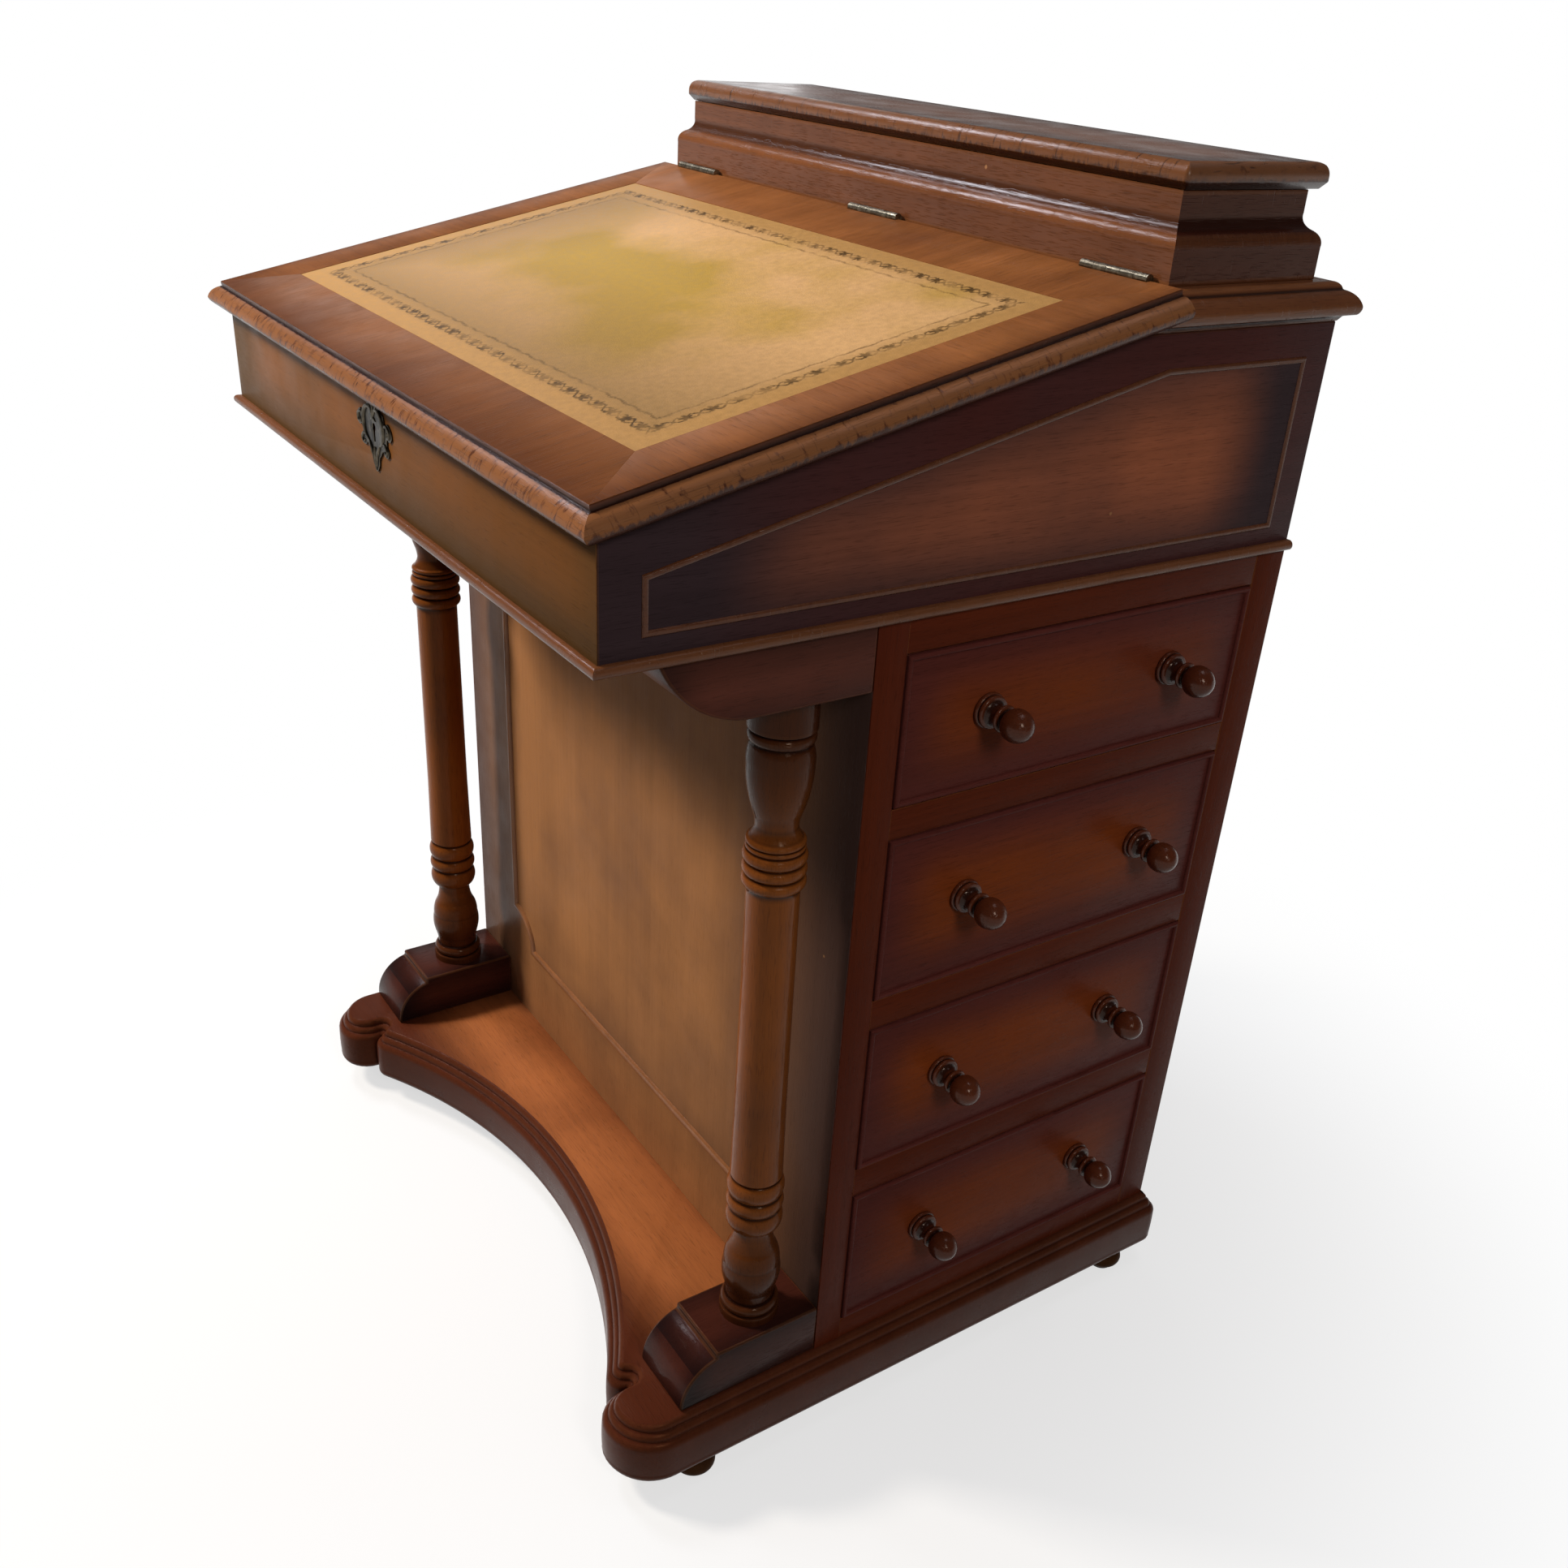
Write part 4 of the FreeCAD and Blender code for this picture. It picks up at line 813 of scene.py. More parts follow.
def tooled_leather(name, settings):
    """Tan hide dyed, polished and blind tooled round its edge with a worn flower border.

    The eye gets a cloudy golden tan with a fine pebble, a duller border outside the tooling,
    and broken dark lines and flowers.
    """
    material, tree, shader = blank_material(name)
    grain = add(tree, "ShaderNodeAttribute", attribute_name="grain").outputs["Vector"]
    reach = add(tree, "ShaderNodeAttribute", attribute_name="reach")
    sides = add(tree, "ShaderNodeSeparateColor", {0: reach.outputs["Color"]})
    left, right, front = sides.outputs
    rear = reach.outputs["Alpha"]
    across = add(tree, "ShaderNodeMath", {0: left, 1: right}, operation="MINIMUM")
    deep = add(tree, "ShaderNodeMath", {0: front, 1: rear}, operation="MINIMUM")
    inward = add(tree, "ShaderNodeMath", {0: across, 1: deep}, operation="MINIMUM")
    at_side = add(tree, "ShaderNodeMath", {0: across, 1: deep}, operation="LESS_THAN")
    run = add(tree, "ShaderNodeMix", {0: at_side, 2: left, 3: front})

    # Broken up: the tooling has worn away in patches, and each mark is ragged.
    worn = add(tree, "ShaderNodeTexNoise", {"Vector": grain, "Scale": 75, "Detail": 3})
    kept = add(
        tree, "ShaderNodeMapRange",
        {"Value": worn, "From Min": 0.38, "From Max": 0.58, "To Min": 0.35, "To Max": 1},
    )
    ragged = add(tree, "ShaderNodeTexNoise", {"Vector": grain, "Scale": 700, "Detail": 3})
    ragged = add(
        tree, "ShaderNodeMath", {0: ragged, 1: 0.0034, 2: -0.0017}, operation="MULTIPLY_ADD",
    )

    # A stem that waves every 15 mm with a rosette in each bend, 17 mm in from the edge, and
    # a thinner wavy line inside it.
    pitch = 0.015
    turn = add(tree, "ShaderNodeMath", {0: run, 1: 2 * math.pi / pitch}, operation="MULTIPLY")
    wave = add(tree, "ShaderNodeMath", {0: turn}, operation="SINE")
    offset = add(tree, "ShaderNodeMath", {0: inward, 1: 0.0172}, operation="SUBTRACT")
    pattern = None
    for height, shift, thin in ((0.0026, 0.0, 1.0), (-0.0026, 0.0, 0.8), (0.0005, 0.0105, 0.6)):
        stem = add(
            tree, "ShaderNodeMath", {0: wave, 1: height, 2: offset}, operation="MULTIPLY_ADD",
        )
        stem = add(tree, "ShaderNodeMath", {0: stem, 1: shift}, operation="SUBTRACT")
        stem = add(tree, "ShaderNodeMath", {0: stem}, operation="ABSOLUTE")
        stem = add(tree, "ShaderNodeMath", {0: stem, 1: ragged}, operation="ADD")
        stem = add(
            tree, "ShaderNodeMapRange",
            {"Value": stem, "From Min": 0.0013, "From Max": 0.0002, "To Max": thin},
        )
        pattern = stem if pattern is None else add(
            tree, "ShaderNodeMath", {0: pattern, 1: stem}, operation="MAXIMUM",
        )
    place = add(tree, "ShaderNodeMath", {0: run, 1: pitch}, operation="PINGPONG")
    place = add(tree, "ShaderNodeMath", {0: place, 1: pitch / 2}, operation="SUBTRACT")
    spread = add(tree, "ShaderNodeCombineXYZ", {0: place, 1: offset})
    distance = add(tree, "ShaderNodeVectorMath", {0: spread}, operation="LENGTH").outputs["Value"]
    angle = add(tree, "ShaderNodeMath", {0: place, 1: offset}, operation="ARCTAN2")
    petals = add(tree, "ShaderNodeMath", {0: angle, 1: 5}, operation="MULTIPLY")
    petals = add(tree, "ShaderNodeMath", {0: petals}, operation="COSINE")
    petals = add(
        tree, "ShaderNodeMath", {0: petals, 1: -0.0009, 2: distance}, operation="MULTIPLY_ADD",
    )
    petals = add(tree, "ShaderNodeMath", {0: petals, 1: ragged}, operation="ADD")
    flower = add(
        tree, "ShaderNodeMapRange", {"Value": petals, "From Min": 0.0041, "From Max": 0.0024},
    )
    pattern = add(tree, "ShaderNodeMath", {0: pattern, 1: flower}, operation="MAXIMUM")
    pressed = add(tree, "ShaderNodeMath", {0: pattern, 1: kept}, operation="MULTIPLY")
    pressed = add(tree, "ShaderNodeMath", {0: pressed, 1: 0.9}, operation="MULTIPLY")

    # Olive dye in the middle, cloudy over some 100 mm, and a pinker tan towards the edge.
    cloud = add(tree, "ShaderNodeTexNoise", {"Vector": grain, "Scale": 8, "Detail": 5})
    middle = add(
        tree, "ShaderNodeMapRange",
        {"Value": inward, "From Min": 0.02, "From Max": 0.1, "To Min": -0.16, "To Max": 0.08},
    )
    olive = add(tree, "ShaderNodeMath", {0: cloud, 1: middle}, operation="ADD")
    olive = add(
        tree, "ShaderNodeMapRange",
        {"Value": olive, "From Min": 0.4, "From Max": 0.62, "To Max": 0.85},
    )
    field = add(
        tree, "ShaderNodeMix",
        {0: olive, 6: (*settings.finish.leather, 1), 7: linear("#a3832c")}, data_type="RGBA",
    )
    # Where sleeves rub, the left and front 100 mm are duller.
    rubbed_side = add(tree, "ShaderNodeMath", {0: left, 1: front}, operation="MINIMUM")
    dull = add(
        tree, "ShaderNodeMapRange",
        {"Value": rubbed_side, "From Min": 0.14, "From Max": 0.02, "To Max": 0.9},
    )
    field = add(
        tree, "ShaderNodeMix", {0: dull, 6: field, 7: linear("#84673e")}, data_type="RGBA",
    )
    border = add(
        tree, "ShaderNodeMapRange", {"Value": inward, "From Min": 0.03, "From Max": 0.011},
    )
    hide = add(
        tree, "ShaderNodeMix", {0: border, 6: field, 7: (*settings.finish.leather_border, 1)},
        data_type="RGBA",
    )
    fine = add(tree, "ShaderNodeTexNoise", {"Vector": grain, "Scale": 240, "Detail": 4})
    tone = add(
        tree, "ShaderNodeMapRange",
        {"Value": fine, "From Min": 0.3, "From Max": 0.7, "To Min": 0.9, "To Max": 1.08},
    )
    hide = add(tree, "ShaderNodeVectorMath", {0: hide, "Scale": tone}, operation="SCALE")
    hide = add(
        tree, "ShaderNodeMix", {0: pressed, 6: hide, 7: (*settings.finish.tooling, 1)},
        data_type="RGBA",
    )
    tree.links.new(hide.outputs[2], shader.inputs["Base Color"])

    # The pebble is 0.9 mm across.
    pebble = add(tree, "ShaderNodeTexVoronoi", {"Vector": grain, "Scale": 1100})
    height = add(
        tree, "ShaderNodeMath", {0: pressed, 1: -1.5, 2: pebble}, operation="MULTIPLY_ADD",
    )
    bump = add(
        tree, "ShaderNodeBump", {"Strength": 0.25, "Distance": 0.0003, "Height": height},
    )
    tree.links.new(bump.outputs[0], shader.inputs["Normal"])
    rough = add(
        tree, "ShaderNodeMapRange",
        {"Value": fine, "From Min": 0.3, "From Max": 0.7, "To Min": 0.42, "To Max": 0.55},
    )
    tree.links.new(rough.outputs[0], shader.inputs["Roughness"])
    shader.inputs["IOR"].default_value = 1.5
    shader.inputs["Specular IOR Level"].default_value = 0.06
    return material


def planed_lining(name, settings):
    """Pale mahogany planed and left raw inside the drawers and the well.

    The eye gets a dry matt honey brown with fine darker pores and dust in the corners.
    """
    if name in bpy.data.materials:
        return bpy.data.materials[name]
    material, tree, shader = blank_material(name)
    grain = add(tree, "ShaderNodeAttribute", attribute_name="grain").outputs["Vector"]
    ribbon = add(
        tree, "ShaderNodeTexNoise",
        {
            "Vector": add(tree, "ShaderNodeMapping", {"Vector": grain, "Scale": (90, 90, 3)}),
            "Scale": 1, "Detail": 4, "Distortion": 0.4,
        },
    )
    pore = add(
        tree, "ShaderNodeTexNoise",
        {
            "Vector": add(
                tree, "ShaderNodeMapping", {"Vector": grain, "Scale": (1500, 1500, 80)},
            ),
            "Scale": 1, "Detail": 1,
        },
    )
    pore = add(tree, "ShaderNodeMapRange", {"Value": pore, "From Min": 0.56, "From Max": 0.7})
    tone = add(
        tree, "ShaderNodeMapRange",
        {"Value": ribbon, "From Min": 0.3, "From Max": 0.7, "To Min": 0.74, "To Max": 1.1},
    )
    dark = add(tree, "ShaderNodeMath", {0: pore, 1: -0.3, 2: 1.0}, operation="MULTIPLY_ADD")
    tone = add(tree, "ShaderNodeMath", {0: tone, 1: dark}, operation="MULTIPLY")
    timber = add(
        tree, "ShaderNodeVectorMath", {0: (*settings.finish.lining,), "Scale": tone},
        operation="SCALE",
    )
    tree.links.new(timber.outputs[0], shader.inputs["Base Color"])
    bump = add(tree, "ShaderNodeBump", {"Strength": 0.3, "Distance": 0.0004, "Height": pore})
    tree.links.new(bump.outputs[0], shader.inputs["Normal"])
    rough = add(tree, "ShaderNodeMapRange", {"Value": ribbon, "To Min": 0.55, "To Max": 0.75})
    tree.links.new(rough.outputs[0], shader.inputs["Roughness"])
    return material


def aged_metal(name, shine, tarnish, rough, cast):
    """Old metal: drawn or cast brass, bronze or iron that has dulled and darkened.

    The eye gets soft metal highlights broken by brown tarnish and fine scratches.
    """
    if name in bpy.data.materials:
        return bpy.data.materials[name]
    material, tree, shader = blank_material(name)
    grain = add(tree, "ShaderNodeAttribute", attribute_name="grain").outputs["Vector"]
    wear = add(tree, "ShaderNodeAttribute", attribute_name="wear").outputs["Fac"]
    # Tarnish in spots 3 mm across, scratches 0.4 mm wide.
    spots = add(tree, "ShaderNodeTexNoise", {"Vector": grain, "Scale": 330, "Detail": 5})
    spots = add(tree, "ShaderNodeMapRange", {"Value": spots, "From Min": 0.46, "From Max": 0.75})
    clean = add(tree, "ShaderNodeMath", {0: wear, 1: 0.8, 2: spots}, operation="MULTIPLY_ADD")
    clean = add(tree, "ShaderNodeMath", {0: clean, 1: 1}, operation="MINIMUM")
    skin = add(
        tree, "ShaderNodeMix", {0: clean, 6: linear(tarnish), 7: (*shine, 1)}, data_type="RGBA",
    )
    tree.links.new(skin.outputs[2], shader.inputs["Base Color"])
    scratch = add(
        tree, "ShaderNodeTexNoise",
        {
            "Vector": add(tree, "ShaderNodeMapping", {"Vector": grain, "Scale": (2500, 2500, 90)}),
            "Scale": 1, "Detail": 2,
        },
    )
    uneven = add(tree, "ShaderNodeTexNoise", {"Vector": grain, "Scale": 420, "Detail": 3})
    height = uneven if cast else scratch
    bump = add(tree, "ShaderNodeBump", {"Strength": 0.35, "Distance": 0.0003, "Height": height})
    tree.links.new(bump.outputs[0], shader.inputs["Normal"])
    rough = add(
        tree, "ShaderNodeMapRange",
        {"Value": scratch, "From Min": 0.3, "From Max": 0.7,
         "To Min": rough - 0.08, "To Max": rough + 0.14},
    )
    tree.links.new(rough.outputs[0], shader.inputs["Roughness"])
    shader.inputs["Metallic"].default_value = 1
    return material


# Each mahogany finish: name, edge colour, heart colour, and how it departs from the usual.
MAHOGANY = {
    "drawer": ("French_polished_mahogany_drawer_fronts", "drawer_edge", "drawer_heart",
               {"sheen": 0.03}),
    "rail": ("French_polished_mahogany_rails", "#502018", "#5e2816", {"sheen": 0.03}),
    "case": ("French_polished_mahogany_case_panels", "case_edge", "case_heart", {"sheen": 0.03}),
    "case_margin": ("French_polished_mahogany_case_margins", "case_edge", "#502a27",
                    {"rub": 0.15, "sheen": 0.03}),
    "pedestal": ("French_polished_mahogany_pedestal_front", "panel_edge", "panel_heart",
                 {"gloss": 0.36, "sheen": 0.02, "figure": 0.3}),
    "slope_front": ("French_polished_mahogany_sunned_front", "slope_edge", "slope_heart",
                    {"gloss": 0.36, "sheen": 0.02, "figure": 0.4}),
    "base": ("French_polished_mahogany_base_board", "base_edge", "base_heart",
             {"rub": 0.08, "gloss": 0.3, "sheen": 0.1}),
    "block": ("French_polished_mahogany_toe_blocks", "#170d0e", "#48231a",
              {"rub": 0.15, "gloss": 0.18, "sheen": 0.09, "varnish": "#fff0e6"}),
    "corbel": ("French_polished_mahogany_corbels", "#3c2420", "#6e3e32",
               {"rub": 0.15, "sheen": 0.04}),
    "moulding": ("Rubbed_mahogany_lid_moulding", "#2c1712", "#5a3322",
                 {"rub": 0.85, "gloss": 0.24, "sheen": 0.18, "varnish": "#ffeadc",
                  "ragged": 1.5, "cuts": 0.3}),
    "bead": ("Rubbed_mahogany_beads", "#4a2414", "#5a3422",
             {"rub": 0.3, "gloss": 0.22, "sheen": 0.22, "varnish": "#fff0e6"}),
    "front_bead": ("Rubbed_mahogany_front_bead", "#5c3622", "#8a5e40",
                   {"rub": 0.6, "gloss": 0.22, "sheen": 0.3, "varnish": "#ffeadc"}),
    "gallery": ("French_polished_mahogany_gallery", "#3a1c10", "#6c4026",
                {"rub": 0.25, "gloss": 0.18, "sheen": 0.2, "varnish": "#fff0e6"}),
    # A darker copy of the gallery finish for the gallery's side walls: painted shade.
    "shaded_side_moulding": ("French_polished_mahogany_side_mouldings", "#2a120c", "#3d1a10",
                      {"rub": 0.2, "gloss": 0.24, "sheen": 0.2}),
    "lid": ("Crossbanded_mahogany_lid", "#55301c", "#85532e",
            {"rub": 0.5, "gloss": 0.33, "sheen": 0.015, "clouds": 1.5}),
    "gallery_lid": ("French_polished_mahogany_gallery_lid", "#3a1d12", "#6a4028",
                    {"rub": 0.5, "gloss": 0.22, "sheen": 0.4, "varnish": "#fff0e6", "figure": 0.3,
                     "ragged": 1.0, "cuts": 0.7}),
    "turned": ("Turned_mahogany_columns", "#42200f", "#90501f",
               {"rub": 0.05, "gloss": 0.17, "sheen": 0.1, "varnish": "#ffe4cc"}),
    "knob": ("Turned_mahogany_knobs", "#3c1810", "#5c2c18",
             {"rub": 0.0, "gloss": 0.16, "sheen": 0.2, "varnish": "#ffeadc"}),
    "foot": ("Ebonised_beech_feet", "#120d0b", "#1f1713", {"rub": 0.2, "gloss": 0.42}),
}


def finish_of(settings, kind):
    """The finish that a group of pieces takes."""
    colours = settings.finish
    if kind in MAHOGANY:
        name, edge, heart, options = MAHOGANY[kind]
        edge, heart = [
            tone if isinstance(tone, str) and tone.startswith("#") else getattr(colours, tone)
            for tone in (edge, heart)
        ]
        edge, heart = [
            linear(tone)[:3] if isinstance(tone, str) else tone for tone in (edge, heart)
        ]
        return polished_mahogany(name, edge, heart, settings, **options)
    if kind == "lining":
        return planed_lining("Planed_pale_mahogany_lining", settings)
    if kind == "brass":
        return aged_metal("Drawn_brass_hinges_aged", colours.brass, "#6f6350", 0.36, False)
    if kind == "bronze":
        return aged_metal("Cast_bronze_key_plate", colours.bronze, "#1b1611", 0.38, True)
    if kind == "iron":
        return aged_metal("Filed_iron_lock", linear("#77716a")[:3], "#3c3029", 0.5, False)
    raise ValueError("no finish for " + kind)


# --- operators ----------------------------------------------------------------------


def arc(centre, radius, start, end, steps):
    """Points on an arc between two directions in radians."""
    return [
        Vector((
            centre[0] + radius * math.cos(start + (end - start) * step / steps),
            centre[1] + radius * math.sin(start + (end - start) * step / steps),
        ))
        for step in range(steps + 1)
    ]


def smooth_path(points, steps=5):
    """A curve through points, as a Catmull-Rom spline."""
    result = []
    for index in range(len(points) - 1):
        a, b, c, d = [
            Vector(points[min(max(index + offset, 0), len(points) - 1)])
            for offset in (-1, 0, 1, 2)
        ]
        for step in range(steps):
            t = step / steps
            result.append(
                b + (c - a) * (t / 2) + (a * 2 - b * 5 + c * 4 - d) * (t * t / 2)
                + (b * 3 - a - c * 3 + d) * (t * t * t / 2)
            )
    return result + [Vector(points[-1])]


def smooth_loop(points, steps=3):
    """A closed curve through points."""
    count = len(points)
    wrapped = [points[index % count] for index in range(-2, count + 3)]
    curve = smooth_path(wrapped, steps)
    return curve[2 * steps:(count + 2) * steps]


def bearing(centre, point):
    return math.atan2(point[1] - centre[1], point[0] - centre[0])


class DAVENPORT_OT_base(bpy.types.Operator):
    """Build the shaped base board with its two edge reeds"""

    bl_idname = "davenport.base"
    bl_label = "Base board"

    def execute(self, context):
        settings = context.scene.davenport
        low, high = span("base_platform")
        half, back = high.x, high.y
        front = -back
        notch = Vector((half - 57, front + 53))
        curl_start = Vector((notch.x - 18, front + 46.6))
        depth = 104 - 46.6
        sweep = (curl_start.x ** 2 + depth ** 2) / (2 * depth)
        sweep_centre = Vector((0, front + 104 - sweep))
        lean = (curl_start - sweep_centre).normalized()
        away = curl_start - notch
        curl = away.length_squared / (-2 * lean.dot(away))
        curl_centre = curl_start + lean * curl
        peak = Vector((half - 34, front + 25))
        away = peak - notch
        lobe = away.length_squared / (-2 * away.y)
        lobe_centre = peak + Vector((0, lobe))

        def outline(out, level):
            inset = -out
            right = arc(
                curl_centre, curl - inset, bearing(curl_centre, curl_start),
                bearing(curl_centre, notch), 8,
            )
            right += arc(
                notch, inset, bearing(notch, curl_centre), bearing(notch, lobe_centre), 5,
            )
            right += arc(
                lobe_centre, lobe - inset, bearing(lobe_centre, notch), 1.5 * math.pi, 8,
            )
            right += arc((peak.x, peak.y + 34), 34 - inset, -math.pi / 2, 0, 14)[1:]
            right += arc((half - 10, back - 10), 10 - inset, 0, math.pi / 2, 6)
            left = [Vector((-point.x, point.y)) for point in reversed(right)]
            ends = sweep_centre, curl_start
            turn = bearing(*ends)
            swept = arc(sweep_centre, sweep + inset, math.pi - turn, turn, 44)[1:-1]
            return [Vector((*point, level)) for point in right + left + swept]

        top = high.z
        section = Section(
            [
                (-9, low.z - 5), (-4.5, low.z - 5, 1.6), (-0.3, low.z + 2, 0.3),
                (-0.3, top - 15, 0.8), (-3.6, top - 10.2), (-4.3, top - 10, 0.9),
                (-7.2, top - 5.4), (-8, top - 5.2, 1.3), (-11.6, top),
            ],
            ease=0.4, feel=1.6,
        )
        # The reeds keep only about a third of the usual painted shade in their hollows.
        section.painted_shade = [0.35 * value for value in section.painted_shade]
        panel = panel_field(
            Vector((-half + 34, front + 66, 0)), Vector((half - 34, -40, 0)), 62,
        )

        def field(point, normal):
            """Only the flat top takes the amber; the reeds and sides stay dark."""
            flat = abs(normal.z) > 0.98 and point.z > top - 1
            return panel(point, normal) if flat else at_edge(point, normal)

        form = Form()
        form.loops(section, outline, Look(ALONG_X, 3, field))
        form.build("base_board", "desk", finish_of(settings, "base"), "mahogany", ["base_platform"])
        return {"FINISHED"}


def lathe(start, legs, foot=0):
    """The drawn legs of a turning given as (rise, radius, bulge) from a first radius."""
    result = []
    radius, height = start, foot
    for rise, after, bulge in legs:
        result.append((radius, height, bulge))
        radius, height = after, height + rise
    return result + [(radius, height)]


def upright(x, y):
    """Places points of a turning that stands on its axis at x, y."""
    return lambda radius, height, angle: (
        x + radius * math.cos(angle), y + radius * math.sin(angle), height,
    )


def rounded(low, high, out, corner=3.0, steps=4):
    """A rectangle with round corners, grown outward."""
    radius = max(corner + out, 0.3)
    x, y = high[0] + out - radius, high[1] + out - radius
    x_low, y_low = low[0] - out + radius, low[1] - out + radius
    quarter = math.pi / 2
    return (
        arc((x_low, y_low), radius, 2 * quarter, 3 * quarter, steps)
        + arc((x, y_low), radius, 3 * quarter, 4 * quarter, steps)
        + arc((x, y), radius, 0, quarter, steps)
        + arc((x_low, y), radius, quarter, 2 * quarter, steps)
    )


def half_round(width, proud):
    """Closed section of a small applied bead, its outer edge at 0."""
    return Section(
        [(0, -0.4), (0, 0.25 * proud, 0.75 * proud), (-width, 0.25 * proud), (-width, -0.4)],
        ease=0.1, closed=True, feel=1.2,
    )


class DAVENPORT_OT_feet(bpy.types.Operator):
    """Turn the four low feet"""

    bl_idname = "davenport.feet"
    bl_label = "Feet"

    def execute(self, context):
        settings = context.scene.davenport
        low, high = span("button_feet")
        section = Section(lathe(
            9, [(3, 10, 0), (11, 10, 4.5), (0, 8.5, 0), (4, 8.5, -0.8), (6, 13, 0)],
        ))
        form = Form()
        for seed, (x, y) in enumerate(((265, -165), (265, 210), (-265, -165), (-265, 210))):
            form.turned(section, upright(x, y), Look(UP, seed), settings.sizes.lathe_steps)
        form.build("turned_feet", "desk", finish_of(settings, "foot"), "ebonised", ["button_feet"])
        return {"FINISHED"}


COLUMN_LEGS = [
    (6, 19.8, 0), (0, 17, 0), (8, 17, 2.2), (0, 15.8, 0), (1, 15.8, 0), (7, 16.6, 0),
    (7, 18.4, 0), (15, 18.5, 0.9), (11, 16.5, 0.6), (10, 13.2, -0.5), (10, 13.2, -0.5),
    (0, 16, 0), (15, 16, 2.4), (11, 16, 2.4), (14, 16, 2.4), (0, 15.5, 0), (2, 16.8, 0),
    (55, 16, 0), (152, 15.5, 0), (2.5, 16, 0), (8, 16, 2.6), (8, 16, 2.6), (8, 16, 2.6),
    (0, 15.8, 0), (3.5, 15.8, 1.4), (3.5, 15.8, 1.4), (7, 12.4, -0.6), (9, 14.2, -0.4),
    (29, 19, 1.2), (11.5, 17.5, 0.6), (1.5, 16.5, 0), (7.5, 16.5, 2.4), (1, 18, 0),
    (0, 19.4, 0), (21, 19.4, 0),
]


class DAVENPORT_OT_columns(bpy.types.Operator):
    """Turn the two columns with their reeds, vases and necks"""

    bl_idname = "davenport.columns"
    bl_label = "Columns"

    def execute(self, context):
        settings = context.scene.davenport
        for side, sign in (("right", 1), ("left", -1)):
            node = "column_" + side
            low, high = span(node)
            middle = (low + high) / 2
            section = Section(lathe(19.8, COLUMN_LEGS, low.z), ease=0.35)
            form = Form()
            # The turning darkens towards both ends; at the top, under the corbel and the slope box,
            # this is painted shade.
            form.turned(
                section, upright(middle.x, middle.y),
                Look(UP, 20 + sign, lambda p, n: [9, 9, (p.z - 110) / 120, (530 - p.z) / 120]),
                settings.sizes.lathe_steps,
            )
            form.build("turned_column_" + side, "desk", finish_of(settings, "turned"),
                       "mahogany", [node])
        return {"FINISHED"}


class DAVENPORT_OT_blocks(bpy.types.Operator):
    """Shape the toe blocks and the corbels"""

    bl_idname = "davenport.blocks"
    bl_label = "Toe blocks and corbels"

    def execute(self, context):
        settings = context.scene.davenport
        toe = drawn([(-179, 64), (-75, 64), (-75, 102), (-153, 102), (-153, 98, 8)], True)
        corbel = drawn([(-203, 585, 9), (-152, 547), (-75, 547), (-75, 585)], True)
        for name, outline in (("toe_block", toe), ("corbel", corbel)):
            for side in ("right", "left"):
                node = name + "_" + side
                low, high = span(node)
                field = panel_field(low - Vector((12, 0, 12)), high + Vector((12, 30, 12)), 34)
                form = Form()
                form.prism(outline, 0, low.x, high.x, Look(ALONG_Y, hash_of(node), field), 1.6)
                kind = "block" if name == "toe_block" else "corbel"
                form.build("shaped_" + node, "desk", finish_of(settings, kind), "mahogany",
                           [node])
        return {"FINISHED"}


def hash_of(name):
    """A steady seed from a name."""
    return sum((index + 1) * ord(letter) for index, letter in enumerate(name))


